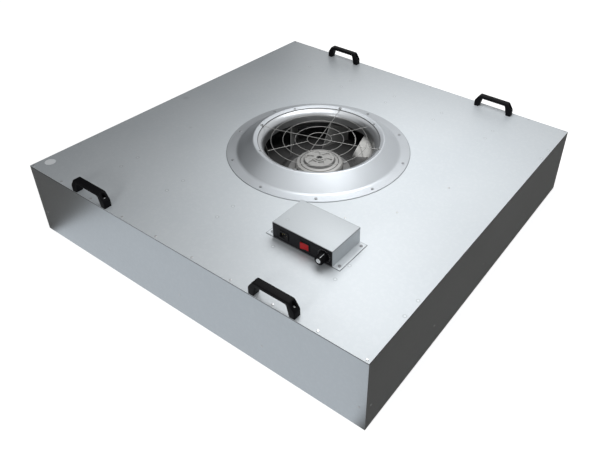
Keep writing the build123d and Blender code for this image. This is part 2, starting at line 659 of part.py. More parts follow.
HANGER_SHEET = 1.5
HANGER_TOP_FLANGE = 20.0
HANGER_FOOT = 26.0
HANGER_FOOT_Z = DECK_Z - DECK_SHEET
HANGER_WEB = HANGER_DISTANCE + 0.3
with BuildPart() as fan_hangers:
    for quarter in range(4):
        a = radians(HANGER_ANGLE + 90 * quarter)
        across = Plane(origin=(0, 0, 0), x_dir=(cos(a), sin(a), 0), z_dir=(sin(a), -cos(a), 0))
        with BuildSketch(across):
            with BuildLine():
                Polyline(
                    (HANGER_DISTANCE + HANGER_TOP_FLANGE, UNDER_TOP),
                    (HANGER_WEB, UNDER_TOP),
                    (HANGER_WEB, TOP + HANGER_FOOT_Z),
                    (HANGER_DISTANCE - HANGER_FOOT, TOP + HANGER_FOOT_Z),
                )
                offset(amount=HANGER_SHEET, side=Side.LEFT, kind=Kind.INTERSECTION)
            make_face()
        extrude(amount=HANGER_LENGTH / 2, both=True)
fan_hangers.part.label = "fan_hangers"
export_step(fan_hangers.part, "parts/fan_hangers.step")

MOTOR_BOLT_CIRCLE = 80.0
with BuildPart() as motor_bolts:
    with BuildSketch(Plane.XY.offset(TOP + DECK_Z - DECK_SHEET)):
        with PolarLocations(MOTOR_BOLT_CIRCLE, 4, start_angle=45):
            RegularPolygon(HEX_R, 6)
    extrude(amount=-HEX_HEAD)
motor_bolts.part.label = "motor_bolts"
export_step(motor_bolts.part, "parts/motor_bolts.step")

# ---------------------------------------------------------------- control box
BOX_LEFT = BOX_X - BOX_WIDTH / 2
BOX_RIGHT = BOX_X + BOX_WIDTH / 2
BOX_REAR_Y = BOX_Y + BOX_DEPTH / 2
BOX_TOP = TOP + BOX_HEIGHT
PANEL_FRONT_Y = BOX_FRONT_Y + PANEL_INSET
PANEL_FRONT = Plane(origin=(0, PANEL_FRONT_Y, CONTROL_HEIGHT), x_dir=(1, 0, 0), z_dir=(0, -1, 0))

# Folded cover: roof, two cheeks with foot flanges, and a back; the front stays open.
with BuildPart() as box_cover:
    with BuildSketch(Plane.XZ.offset(-BOX_REAR_Y)):
        with BuildLine():
            Polyline(
                (BOX_LEFT - BOX_FLANGE, TOP),
                (BOX_LEFT - BOX_FLANGE, TOP + SHEET),
                (BOX_LEFT, TOP + SHEET),
                (BOX_LEFT, BOX_TOP),
                (BOX_RIGHT, BOX_TOP),
                (BOX_RIGHT, TOP + SHEET),
                (BOX_RIGHT + BOX_FLANGE, TOP + SHEET),
                (BOX_RIGHT + BOX_FLANGE, TOP),
                (BOX_RIGHT - SHEET, TOP),
                (BOX_RIGHT - SHEET, BOX_TOP - SHEET),
                (BOX_LEFT + SHEET, BOX_TOP - SHEET),
                (BOX_LEFT + SHEET, TOP),
                close=True,
            )
        make_face()
    extrude(amount=BOX_DEPTH)
    with BuildSketch(Plane.XZ.offset(-BOX_REAR_Y)):
        with Locations((BOX_X, TOP + BOX_HEIGHT / 2)):
            Rectangle(BOX_WIDTH, BOX_HEIGHT)
    extrude(amount=SHEET)
    fillet(box_cover.edges().filter_by(Axis.Y).group_by(Axis.Z)[-1], BOX_BEND_R)
    with BuildSketch(Plane.XY.offset(TOP)):
        with Locations(*BOX_SCREW_PLACES):
            RegularPolygon(BOX_SCREW_R + HOLE_PLAY, FASTENER_SIDES)
    extrude(amount=SHEET, mode=Mode.SUBTRACT)
box_cover.part.label = "box_cover"
export_step(box_cover.part, "parts/box_cover.step")

# Black front: a plate between the cheeks with a lip folded back along the floor.
INLET_BODY = (27.5, 20.0)
ROCKER_BODY = (27.0, 22.0)
BUSH_R = 3.5
CUTOUT_PLAY = 0.4
PANEL_LIP = 14.0
PANEL_WIDTH = BOX_WIDTH - 2 * SHEET
with BuildPart() as control_panel:
    with BuildSketch(PANEL_FRONT):
        with Locations((BOX_X, (BOX_HEIGHT - SHEET) / 2 - CONTROL_Z)):
            Rectangle(PANEL_WIDTH, BOX_HEIGHT - SHEET)
        with Locations((INLET_X, 0)):
            Rectangle(INLET_BODY[0] + CUTOUT_PLAY, INLET_BODY[1] + CUTOUT_PLAY, mode=Mode.SUBTRACT)
        with Locations((ROCKER_X, 0)):
            Rectangle(ROCKER_BODY[0] + CUTOUT_PLAY, ROCKER_BODY[1] + CUTOUT_PLAY, mode=Mode.SUBTRACT)
        with Locations((KNOB_X, 0)):
            RegularPolygon(BUSH_R + HOLE_PLAY, BUSH_SIDES, mode=Mode.SUBTRACT)
    extrude(amount=-PANEL_DEPTH)
    with BuildSketch(Plane.XY.offset(TOP)):
        with Locations((BOX_X, PANEL_BACK_Y + PANEL_LIP / 2)):
            Rectangle(PANEL_WIDTH, PANEL_LIP)
    extrude(amount=PANEL_DEPTH)
control_panel.part.label = "control_panel"
export_step(control_panel.part, "parts/control_panel.step")

# Power inlet: a flanged socket with two cut corners beside the earth pin.
INLET_FACE = (31.0, 24.0)
INLET_FLANGE = 1.8
INLET_BODY_DEPTH = 18.0
INLET_RECESS = (24.2, 16.5)
INLET_RECESS_DEPTH = 15.5
INLET_CORNER = 5.0
PIN_SIZE = (2.0, 4.0)
PIN_LENGTH = 10.5
PIN_TAIL = 12.0
PIN_PLACES = [(INLET_X - 7.0, -2.0), (INLET_X, 2.0), (INLET_X + 7.0, -2.0)]
half_w = INLET_RECESS[0] / 2
half_h = INLET_RECESS[1] / 2
with BuildPart() as power_inlet:
    with BuildSketch(PANEL_FRONT):
        with Locations((INLET_X, 0)):
            RectangleRounded(*INLET_FACE, 3)
    extrude(amount=INLET_FLANGE)
    with BuildSketch(PANEL_FRONT):
        with Locations((INLET_X, 0)):
            Rectangle(*INLET_BODY)
    extrude(amount=-INLET_BODY_DEPTH)
    with BuildSketch(PANEL_FRONT.offset(INLET_FLANGE)):
        with BuildLine():
            Polyline(
                (INLET_X - half_w, -half_h),
                (INLET_X + half_w, -half_h),
                (INLET_X + half_w, half_h - INLET_CORNER),
                (INLET_X + half_w - INLET_CORNER, half_h),
                (INLET_X - half_w + INLET_CORNER, half_h),
                (INLET_X - half_w, half_h - INLET_CORNER),
                close=True,
            )
        make_face()
    extrude(amount=-INLET_RECESS_DEPTH, mode=Mode.SUBTRACT)
    with BuildSketch(PANEL_FRONT):
        with Locations(*PIN_PLACES):
            Rectangle(*PIN_SIZE)
    extrude(amount=-INLET_BODY_DEPTH, mode=Mode.SUBTRACT)
power_inlet.part.label = "power_inlet"
export_step(power_inlet.part, "parts/power_inlet.step")

with BuildPart() as inlet_pins:
    with BuildSketch(PANEL_FRONT.offset(INLET_FLANGE - INLET_RECESS_DEPTH + PIN_LENGTH)):
        with Locations(*PIN_PLACES):
            Rectangle(*PIN_SIZE)
    extrude(amount=-PIN_LENGTH - PIN_TAIL)
inlet_pins.part.label = "inlet_pins"
export_step(inlet_pins.part, "parts/inlet_pins.step")

# Rocker switch: a bezel and body with a well, and a V-faced rocker on two stub pins.
BEZEL_FACE = (31.0, 25.0)
BEZEL = 1.5
ROCKER_BODY_DEPTH = 19.0
WELL = (25.4, 19.2)
WELL_DEPTH = 6.0
PIVOT_DEPTH = 1.3
PIVOT_R = 1.2
PIVOT_REACH = 10.6
PIVOT_PLAY = 0.2
ROCKER_R = 12.2
ROCKER_HALF_WIDTH = 9.2
ROCKER_TILT = 8.0
PIVOT_Y = PANEL_FRONT_Y - BEZEL + PIVOT_DEPTH
with BuildPart() as rocker_frame:
    with BuildSketch(PANEL_FRONT):
        with Locations((ROCKER_X, 0)):
            RectangleRounded(*BEZEL_FACE, BEZEL)
    extrude(amount=BEZEL)
    with BuildSketch(PANEL_FRONT):
        with Locations((ROCKER_X, 0)):
            Rectangle(*ROCKER_BODY)
    extrude(amount=-ROCKER_BODY_DEPTH)
    with BuildSketch(PANEL_FRONT.offset(BEZEL)):
        with Locations((ROCKER_X, 0)):
            Rectangle(*WELL)
    extrude(amount=-WELL_DEPTH, mode=Mode.SUBTRACT)
    with BuildSketch(Plane.XY.offset(CONTROL_HEIGHT)):
        with Locations((ROCKER_X, PIVOT_Y)):
            Circle(PIVOT_R + RUNNING_FIT)
    extrude(amount=PIVOT_REACH + PIVOT_PLAY, both=True, mode=Mode.SUBTRACT)
rocker_frame.part.label = "rocker_frame"
export_step(rocker_frame.part, "parts/rocker_frame.step")


def on_rocker(angle):
    """Place on the rocker's end arc, an angle above its right-hand side when level."""
    a = radians(angle - ROCKER_TILT)
    return (ROCKER_X + ROCKER_R * cos(a), PIVOT_Y - ROCKER_R * sin(a))


ROCKER_CROWN = 15.0  # degrees from the pivot's level up to each end of the face
ROCKER_HEEL = 10.0
crown = radians(ROCKER_CROWN)
tilt = radians(ROCKER_TILT)
valley = ROCKER_R * (sin(crown) - cos(crown) * tan(tilt))
with BuildPart() as rocker:
    with BuildSketch(Plane.XY.offset(CONTROL_HEIGHT)):
        with BuildLine():
            Polyline(
                on_rocker(ROCKER_CROWN),
                (ROCKER_X + valley * sin(tilt), PIVOT_Y - valley * cos(tilt)),
                on_rocker(180 - ROCKER_CROWN),
            )
            ThreePointArc(on_rocker(180 - ROCKER_CROWN), on_rocker(180), on_rocker(180 + ROCKER_HEEL))
            Line(on_rocker(180 + ROCKER_HEEL), on_rocker(-ROCKER_HEEL))
            ThreePointArc(on_rocker(-ROCKER_HEEL), on_rocker(0), on_rocker(ROCKER_CROWN))
        make_face()
    extrude(amount=ROCKER_HALF_WIDTH, both=True)
    with BuildSketch(Plane.XY.offset(CONTROL_HEIGHT)):
        with Locations((ROCKER_X, PIVOT_Y)):
            Circle(PIVOT_R)
    extrude(amount=PIVOT_REACH, both=True)
rocker.part.label = "rocker"
export_step(rocker.part, "parts/rocker.step")

# Speed control: a potentiometer behind the panel, its nut, shaft, knob and cap.
POT_SHAFT_R = 3.0
BUSH_REACH = 6.0
POT_R = 9.0
POT_DEPTH = 10.0
NUT_R = 5.8
NUT_HEIGHT = 2.2
with BuildPart() as speed_control:
    with BuildSketch(PANEL_FRONT.offset(-PANEL_DEPTH)):
        with Locations((KNOB_X, 0)):
            RegularPolygon(POT_R, BUSH_SIDES)
    extrude(amount=-POT_DEPTH)
    with BuildSketch(PANEL_FRONT.offset(-PANEL_DEPTH)):
        with Locations((KNOB_X, 0)):
            RegularPolygon(BUSH_R, BUSH_SIDES)
    extrude(amount=PANEL_DEPTH + BUSH_REACH)
    with BuildSketch(PANEL_FRONT.offset(BUSH_REACH)):
        with Locations((KNOB_X, 0)):
            Circle(POT_SHAFT_R + RUNNING_FIT)
    extrude(amount=-BUSH_REACH - PANEL_DEPTH - POT_DEPTH / 2, mode=Mode.SUBTRACT)
speed_control.part.label = "speed_control"
export_step(speed_control.part, "parts/speed_control.step")

with BuildPart() as control_nut:
    with BuildSketch(PANEL_FRONT):
        with Locations((KNOB_X, 0)):
            RegularPolygon(NUT_R, 6)
            RegularPolygon(BUSH_R, BUSH_SIDES, mode=Mode.SUBTRACT)
    extrude(amount=NUT_HEIGHT)
control_nut.part.label = "control_nut"
export_step(control_nut.part, "parts/control_nut.step")

KNOB_GAP = 0.8
KNOB_LENGTH = 21.5
KNOB_SKIRT_R = 15.0
KNOB_SKIRT = 3.5
KNOB_GRIP_R = 13.6
KNOB_TAPER = 4.0  # degrees
KNOB_BORE_END = 17.0
KNOB_HOLLOW_R = 9.0
KNOB_HOLLOW_END = 8.0
CAP_R = 8.5
CAP_SEAT = 1.0
CAP_STAND = 0.5
POINTER_ANGLE = 20.0  # degrees clockwise from straight up, seen from the front
POINTER = (3.4, 1.2)
POINTER_R = 10.7
POINTER_DEPTH = 0.6
knob_nose = PANEL_FRONT.offset(KNOB_GAP + KNOB_LENGTH)
with BuildPart() as speed_knob:
    for start, rise, r, taper in (
        (KNOB_GAP, KNOB_SKIRT, KNOB_SKIRT_R, 0),
        (KNOB_GAP + KNOB_SKIRT, KNOB_LENGTH - KNOB_SKIRT, KNOB_GRIP_R, KNOB_TAPER),
    ):
        with BuildSketch(PANEL_FRONT.offset(start)):
            with Locations((KNOB_X, 0)):
                RegularPolygon(r, DRUM_SIDES)
        extrude(amount=rise, taper=taper)
    for start, depth, r in (
        (KNOB_GAP, KNOB_HOLLOW_END - KNOB_GAP, KNOB_HOLLOW_R),
        (KNOB_GAP, KNOB_BORE_END - KNOB_GAP, POT_SHAFT_R),
        (KNOB_GAP + KNOB_LENGTH, -CAP_SEAT, CAP_R),
    ):
        with BuildSketch(PANEL_FRONT.offset(start)):
            with Locations((KNOB_X, 0)):
                RegularPolygon(r, DRUM_SIDES, major_radius=False)
        extrude(amount=depth, mode=Mode.SUBTRACT)
    with BuildSketch(knob_nose):
        with Locations((KNOB_X, 0)):
            with PolarLocations(POINTER_R, 1, start_angle=90 - POINTER_ANGLE):
                Rectangle(*POINTER)
    extrude(amount=-POINTER_DEPTH, mode=Mode.SUBTRACT)
speed_knob.part.label = "speed_knob"
export_step(speed_knob.part, "parts/speed_knob.step")

with BuildPart() as knob_cap:
    with BuildSketch(knob_nose.offset(-CAP_SEAT)):
        with Locations((KNOB_X, 0)):
            RegularPolygon(CAP_R, DRUM_SIDES)
    extrude(amount=CAP_SEAT + CAP_STAND)
knob_cap.part.label = "knob_cap"
export_step(knob_cap.part, "parts/knob_cap.step")

SHAFT_END_GAP = 0.2
shaft_back = PANEL_DEPTH + POT_DEPTH / 2 - 2 * SHAFT_END_GAP
with BuildPart() as control_shaft:
    with BuildSketch(PANEL_FRONT.offset(-shaft_back)):
        with Locations((KNOB_X, 0)):
            Circle(POT_SHAFT_R)
    extrude(amount=shaft_back + KNOB_BORE_END - SHAFT_END_GAP)
control_shaft.part.label = "control_shaft"
export_step(control_shaft.part, "parts/control_shaft.step")

# Inside the box: a board on four spacers, the motor's capacitor and a terminal block.
BOARD_X = 293.0
BOARD_Y = -352.0
BOARD = (92.0, 48.0)
BOARD_STAND = 8.0
BOARD_THICKNESS = 1.6
BOARD_PARTS = (  # heat sink, choke and relay: place from the board's middle, then size
    (-24.0, 4.0, 30.0, 24.0, 14.0),
    (16.0, 8.0, 18.0, 12.0, 10.0),
    (30.0, -12.0, 12.0, 14.0, 9.0),
)
with BuildPart() as control_board:
    with BuildSketch(Plane.XY.offset(TOP + BOARD_STAND)):
        with Locations((BOARD_X, BOARD_Y)):
            Rectangle(*BOARD)
    extrude(amount=BOARD_THICKNESS)
    for x, y, width, depth, height in BOARD_PARTS:
        with BuildSketch(Plane.XY.offset(TOP + BOARD_STAND + BOARD_THICKNESS)):
            with Locations((BOARD_X + x, BOARD_Y + y)):
                Rectangle(width, depth)
        extrude(amount=height)
control_board.part.label = "control_board"
export_step(control_board.part, "parts/control_board.step")

SPACER_R = 3.0
SPACER_INSET = 4.0
with BuildPart() as board_spacers:
    with BuildSketch(Plane.XY.offset(TOP)):
        with Locations((BOARD_X, BOARD_Y)):
            with GridLocations(BOARD[0] - 2 * SPACER_INSET, BOARD[1] - 2 * SPACER_INSET, 2, 2):
                RegularPolygon(SPACER_R, 6)
    extrude(amount=BOARD_STAND)
board_spacers.part.label = "board_spacers"
export_step(board_spacers.part, "parts/board_spacers.step")

TERMINAL_PLACE = (203.0, -303.0)
TERMINAL_BASE = (52.0, 18.0)
TERMINAL_BASE_HEIGHT = 9.0
TERMINAL_WAY = (6.4, 12.0)
TERMINAL_WAY_HEIGHT = 7.0
TERMINAL_PITCH = 8.6
with BuildPart() as terminal_block:
    with BuildSketch(Plane.XY.offset(TOP)):
        with Locations(TERMINAL_PLACE):
            Rectangle(*TERMINAL_BASE)
    extrude(amount=TERMINAL_BASE_HEIGHT)
    with BuildSketch(Plane.XY.offset(TOP + TERMINAL_BASE_HEIGHT)):
        with Locations(TERMINAL_PLACE):
            with GridLocations(TERMINAL_PITCH, 0, 6, 1):
                Rectangle(*TERMINAL_WAY)
    extrude(amount=TERMINAL_WAY_HEIGHT)
terminal_block.part.label = "terminal_block"
export_step(terminal_block.part, "parts/terminal_block.step")

CAPACITOR_R = 15.0
CAPACITOR_LENGTH = 58.0
CAPACITOR_X = 176.0
CAPACITOR_Y = -335.0
with BuildPart() as capacitor:
    with BuildSketch(Plane.YZ.offset(CAPACITOR_X)):
        with Locations((CAPACITOR_Y, TOP + CAPACITOR_R)):
            RegularPolygon(CAPACITOR_R, BUSH_SIDES)
    extrude(amount=CAPACITOR_LENGTH)
capacitor.part.label = "capacitor"
export_step(capacitor.part, "parts/capacitor.step")

BOX_SCREW_HEAD_R = 4.0
BOX_SCREW_HEAD = 2.2
BOX_SCREW_LENGTH = 9.0
with BuildPart() as box_screws:
    with BuildSketch(Plane.XY.offset(TOP + SHEET)):
        with Locations(*BOX_SCREW_PLACES):
            RegularPolygon(BOX_SCREW_HEAD_R, FASTENER_SIDES)
    extrude(amount=BOX_SCREW_HEAD)
    with BuildSketch(Plane.XY.offset(TOP + SHEET)):
        with Locations(*BOX_SCREW_PLACES):
            RegularPolygon(BOX_SCREW_R, FASTENER_SIDES)
    extrude(amount=-BOX_SCREW_LENGTH)
box_screws.part.label = "box_screws"
export_step(box_screws.part, "parts/box_screws.step")

# Rubber bush where the motor's lead drops through the top panel, inside the box.
GROMMET_LIP = 3.0
GROMMET_RIM = 2.5
GROMMET_WALL = 3.5
with BuildPart() as cable_grommet:
    for start, rise, r in (
        (TOP, GROMMET_RIM, CABLE_HOLE_R + GROMMET_LIP),
        (UNDER_TOP, SHEET, CABLE_HOLE_R),
        (UNDER_TOP, -GROMMET_RIM, CABLE_HOLE_R + GROMMET_LIP),
    ):
        with BuildSketch(Plane.XY.offset(start)):
            with Locations(CABLE_PLACE):
                RegularPolygon(r, BUSH_SIDES)
                RegularPolygon(CABLE_HOLE_R - GROMMET_WALL, BUSH_SIDES, mode=Mode.SUBTRACT)
        extrude(amount=rise)
cable_grommet.part.label = "cable_grommet"
export_step(cable_grommet.part, "parts/cable_grommet.step")

# ---------------------------------------------------------------- handles
HANDLE_SHOULDER_Z = 20.0
HANDLE_SLOPE_RUN = 15.0
HANDLE_LEG = 16.5
HANDLE_GAP_TAPER = 8.0
HANDLE_GAP_ROUND = 5.0
HANDLE_CHAMFER = 1.8
SCREW_HEAD_R = 4.5
SCREW_HEAD = 4.0
SCREW_REACH = 6.0
COUNTERBORE_PLAY = 0.4
half_length = HANDLE_LENGTH / 2
gap_foot = half_length - HANDLE_LEG
for name, (x, y) in HANDLES.items():
    with BuildPart() as handle:
        with BuildSketch(Plane(origin=(x, y, TOP), x_dir=(1, 0, 0), z_dir=(0, -1, 0))):
            with BuildLine():
                Polyline(
                    (-gap_foot, 0),
                    (-half_length, 0),
                    (-half_length, HANDLE_SHOULDER_Z),
                    (HANDLE_SLOPE_RUN - half_length, HANDLE_HEIGHT),
                    (half_length - HANDLE_SLOPE_RUN, HANDLE_HEIGHT),
                    (half_length, HANDLE_SHOULDER_Z),
                    (half_length, 0),
                    (gap_foot, 0),
                )
                FilletPolyline(
                    (gap_foot, 0),
                    (gap_foot - HANDLE_GAP_TAPER, HANDLE_HEIGHT - HANDLE_BAR),
                    (HANDLE_GAP_TAPER - gap_foot, HANDLE_HEIGHT - HANDLE_BAR),
                    (-gap_foot, 0),
                    radius=HANDLE_GAP_ROUND,
                )
            make_face()
        extrude(amount=HANDLE_DEPTH / 2, both=True)
        along = handle.edges().filter_by(Axis.Y, reverse=True).filter_by(GeomType.LINE)
        slopes = along.filter_by(lambda e: abs(e.center().X - x) > gap_foot)
        slopes = slopes.filter_by_position(Axis.Z, TOP + HANDLE_SHOULDER_Z, TOP + HANDLE_HEIGHT)
        chamfer(slopes + along.group_by(Axis.Z)[-1], HANDLE_CHAMFER)
        with BuildSketch(Plane.XY.offset(TOP + HANDLE_SHOULDER_Z)):
            with Locations((x - HANDLE_HOLE_PITCH / 2, y), (x + HANDLE_HOLE_PITCH / 2, y)):
                RegularPolygon(SCREW_HEAD_R + COUNTERBORE_PLAY, 2 * FASTENER_SIDES)
        extrude(amount=HANDLE_HEIGHT, mode=Mode.SUBTRACT)
        with BuildSketch(Plane.XY.offset(TOP)):
            with Locations((x - HANDLE_HOLE_PITCH / 2, y), (x + HANDLE_HOLE_PITCH / 2, y)):
                RegularPolygon(HANDLE_SCREW_R + HOLE_PLAY, FASTENER_SIDES)
        extrude(amount=HANDLE_HEIGHT, mode=Mode.SUBTRACT)
    handle.part.label = name
    export_step(handle.part, f"parts/{name}.step")

with BuildPart() as handle_screws:
    with BuildSketch(Plane.XY.offset(TOP + HANDLE_SHOULDER_Z)):
        with Locations(*HANDLE_SCREW_PLACES):
            RegularPolygon(SCREW_HEAD_R, FASTENER_SIDES)
    extrude(amount=SCREW_HEAD)
    with BuildSketch(Plane.XY.offset(TOP + HANDLE_SHOULDER_Z)):
        with Locations(*HANDLE_SCREW_PLACES):
            RegularPolygon(HANDLE_SCREW_R, FASTENER_SIDES)
    extrude(amount=-HANDLE_SHOULDER_Z - SCREW_REACH)
handle_screws.part.label = "handle_screws"
export_step(handle_screws.part, "parts/handle_screws.step")

# ---------------------------------------------------------------- filter
# Frame: an inward-facing channel all round.
with BuildPart() as filter_frame:
    with BuildSketch(Plane.XY.offset(FILTER_BOTTOM)):
        Rectangle(FILTER_SIDE, FILTER_SIDE)
        Rectangle(FILTER_SIDE - 2 * FILTER_CHANNEL, FILTER_SIDE - 2 * FILTER_CHANNEL, mode=Mode.SUBTRACT)
    extrude(amount=FILTER_DEPTH)
    with BuildSketch(Plane.XY.offset(FILTER_BOTTOM + FILTER_WALL)):
        Rectangle(FILTER_SIDE - 2 * FILTER_WALL, FILTER_SIDE - 2 * FILTER_WALL)
    extrude(amount=FILTER_DEPTH - 2 * FILTER_WALL, mode=Mode.SUBTRACT)
filter_frame.part.label = "filter_frame"
export_step(filter_frame.part, "parts/filter_frame.step")

# Pleated paper pack, folded along Y and held in the channel.
PLEAT_TIP = 7.0  # height of solid paper at each fold
PACK_GAP = 0.5
PACK_SIDE = FILTER_SIDE - 2 * FILTER_WALL - 2 * PACK_GAP
pleat_low = FILTER_BOTTOM + FILTER_WALL
pleat_high = FILTER_TOP - FILTER_WALL
pitch = PACK_SIDE / PLEAT_COUNT
upper_folds = []
lower_folds = []
for k in range(2 * PLEAT_COUNT + 1):
    x = k * pitch / 2 - PACK_SIDE / 2
    is_crest = k % 2 == 1
    upper_folds.append((x, pleat_high if is_crest else pleat_low + PLEAT_TIP))
    lower_folds.append((x, pleat_high - PLEAT_TIP if is_crest else pleat_low))
with BuildPart() as filter_media:
    with BuildSketch(Plane.XZ):
        with BuildLine():
            Polyline(*upper_folds, *reversed(lower_folds), close=True)
        make_face()
    extrude(amount=PACK_SIDE / 2, both=True)
filter_media.part.label = "filter_media"
export_step(filter_media.part, "parts/filter_media.step")

with BuildPart() as filter_gasket:
    with BuildSketch(Plane.XY.offset(FILTER_TOP)):
        Rectangle(FILTER_SIDE, FILTER_SIDE)
        Rectangle(FILTER_SIDE - 2 * FILTER_CHANNEL, FILTER_SIDE - 2 * FILTER_CHANNEL, mode=Mode.SUBTRACT)
    extrude(amount=GASKET)
filter_gasket.part.label = "filter_gasket"
export_step(filter_gasket.part, "parts/filter_gasket.step")

# Retaining clips: a leg against the wall's hem and a foot under the filter's frame.
CLIP_PLACES = (-300.0, 300.0)  # along each wall
CLIP_WIDTH = 30.0
CLIP_FOOT = 12.0
CLIP_LEG = 26.0
with BuildPart() as filter_clips:
    for inward in WALLS.values():
        for along in CLIP_PLACES:
            with BuildSketch(wall_plane(inward).offset(along)):
                with BuildLine():
                    Polyline(
                        (2 * SHEET, FILTER_BOTTOM - SHEET),
                        (2 * SHEET + CLIP_FOOT + SHEET, FILTER_BOTTOM - SHEET),
                        (2 * SHEET + CLIP_FOOT + SHEET, FILTER_BOTTOM),
                        (3 * SHEET, FILTER_BOTTOM),
                        (3 * SHEET, FILTER_BOTTOM + CLIP_LEG),
                        (2 * SHEET, FILTER_BOTTOM + CLIP_LEG),
                        close=True,
                    )
                make_face()
            extrude(amount=CLIP_WIDTH / 2, both=True)
filter_clips.part.label = "filter_clips"
export_step(filter_clips.part, "parts/filter_clips.step")
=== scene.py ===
# %% [markdown]
# # Dressing a fan filter unit
# The object is a flat, square sheet-metal casing that hangs in a clean room's ceiling.
# A fan under a round spun inlet draws air down and pushes it out through a paper filter.
# The solid model is already right in size and place, so this lesson only adds what a
# solid model leaves plain: rolled edges, round wire, moulded grips, screw heads and finishes.

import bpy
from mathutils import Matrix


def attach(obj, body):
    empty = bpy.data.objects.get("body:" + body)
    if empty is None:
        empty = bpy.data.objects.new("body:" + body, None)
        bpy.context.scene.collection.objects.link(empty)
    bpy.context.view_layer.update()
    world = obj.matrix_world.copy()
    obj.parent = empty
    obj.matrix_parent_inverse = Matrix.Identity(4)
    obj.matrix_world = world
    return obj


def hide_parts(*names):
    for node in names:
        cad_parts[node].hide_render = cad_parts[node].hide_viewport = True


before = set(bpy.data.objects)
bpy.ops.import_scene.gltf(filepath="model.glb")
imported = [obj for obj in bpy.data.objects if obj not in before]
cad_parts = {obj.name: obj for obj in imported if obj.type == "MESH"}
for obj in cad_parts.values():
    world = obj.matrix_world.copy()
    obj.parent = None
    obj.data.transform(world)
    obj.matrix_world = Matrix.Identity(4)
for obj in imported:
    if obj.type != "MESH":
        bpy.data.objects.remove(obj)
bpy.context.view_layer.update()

# %% [markdown]
# ## Working by hand, in code
# Blender's operators act on whatever is selected, so every step starts with a clean
# selection. Faces and edges are then picked by where they stand or point, as a hand would
# click on them. Sizes are written in millimetres, as on a workshop drawing, and turned
# into metres once, by `mm`.

# %% Small helpers for sizes and selections
from math import atan, cos, degrees, pi, radians, sin

import bpy
from mathutils import Euler, Matrix, Vector

TOP = 230.0  # the top panel's face


def mm(*values):
    """Millimetres as metres: one number, or a Vector."""
    if len(values) == 1:
        return values[0] / 1000
    return Vector([v / 1000 for v in values])


def select(*objects):
    """Selects these and nothing else; the first becomes the active one."""
    if bpy.context.object and bpy.context.object.mode != "OBJECT":
        bpy.ops.object.mode_set(mode="OBJECT")
    bpy.ops.object.select_all(action="DESELECT")
    for o in objects:
        o.select_set(True)
    bpy.context.view_layer.objects.active = objects[0] if objects else None


def edit(piece, kind="FACE", pick=None):
    """Goes into edit mode with everything selected, or only what pick(element) says."""
    select(piece)
    bpy.ops.object.mode_set(mode="EDIT")
    bpy.ops.mesh.select_mode(type=kind)
    bpy.ops.mesh.select_all(action="SELECT" if pick is None else "DESELECT")
    if pick is not None:
        bpy.ops.object.mode_set(mode="OBJECT")
        mesh = piece.data
        lists = {"FACE": mesh.polygons, "EDGE": mesh.edges, "VERT": mesh.vertices}
        for element in lists[kind]:
            element.select = bool(pick(element))
        bpy.ops.object.mode_set(mode="EDIT")


def done():
    bpy.ops.object.mode_set(mode="OBJECT")


# %% [markdown]
# ## Sums on shader sockets
# A procedural finish is mostly arithmetic: distances, masks and mixes. Math nodes could be
# placed one by one, but a small class that lets a socket take part in a Python sum is
# easier to read; each sum adds one Math node behind it.

# %% A socket that can do sums
class Level:
    """One number that varies over a surface."""

    def __init__(self, nodes, socket):
        self.nodes = nodes
        self.socket = socket

    def sum(self, operation, *others, flip=False):
        """One Math node on this level and others, or the other way round."""
        terms = [self, *others]
        if flip:
            terms.reverse()
        made = self.nodes.node("ShaderNodeMath", {"operation": operation}, dict(enumerate(terms)))
        return Level(self.nodes, made.outputs[0])

    def __add__(self, other):
        return self.sum("ADD", other)

    def __sub__(self, other):
        return self.sum("SUBTRACT", other)

    def __rsub__(self, other):
        return self.sum("SUBTRACT", other, flip=True)

    def __mul__(self, other):
        return self.sum("MULTIPLY", other)

    def __truediv__(self, other):
        return self.sum("DIVIDE", other)

    def __pow__(self, other):
        return self.sum("POWER", other)

    __radd__ = __add__
    __rmul__ = __mul__

    def size(self):
        return self.sum("ABSOLUTE")

    def below(self, edge, soft):
        """1 under the edge, 0 over it, with a soft step between."""
        made = self.nodes.node(
            "ShaderNodeMapRange",
            {"interpolation_type": "SMOOTHSTEP"},
            {
                "Value": self,
                "From Min": edge - soft,
                "From Max": edge + soft,
                "To Min": 1.0,
                "To Max": 0.0,
            },
        )
        return Level(self.nodes, made.outputs[0])

    def near(self, value, half, soft):
        """1 within half of a value, 0 beyond it: a line or a ring."""
        return (self - value).size().below(half, soft)


def reach(a, b):
    """How far two levels at right angles reach together."""
    return (a * a + b * b) ** 0.5


# %% Node trees, and a finish as one of them
class Nodes:
    """The nodes of a material or of the world."""

    def __init__(self, owner):
        owner.use_nodes = True
        self.tree = owner.node_tree

    def node(self, kind, settings=None, sockets=None):
        """Adds a node: its settings first, then its sockets' values or links."""
        made = self.tree.nodes.new(kind)
        for key, value in (settings or {}).items():
            setattr(made, key, value)
        for key, value in (sockets or {}).items():
            self.feed(made.inputs[key], value)
        return made

    def feed(self, socket, value):
        """Links a socket to a level or a socket, or sets its plain value."""
        if isinstance(value, Level):
            value = value.socket
        if isinstance(value, bpy.types.NodeSocket):
            self.tree.links.new(value, socket)
        else:
            socket.default_value = value

    def is_seen(self, *kinds):
        """1 for camera rays and rays of these kinds, 0 for light that falls on things."""
        path = self.node("ShaderNodeLightPath")
        seen = Level(self, path.outputs["Is Camera Ray"])
        for kind in kinds:
            seen = seen.sum("MAXIMUM", path.outputs[kind])
        return seen


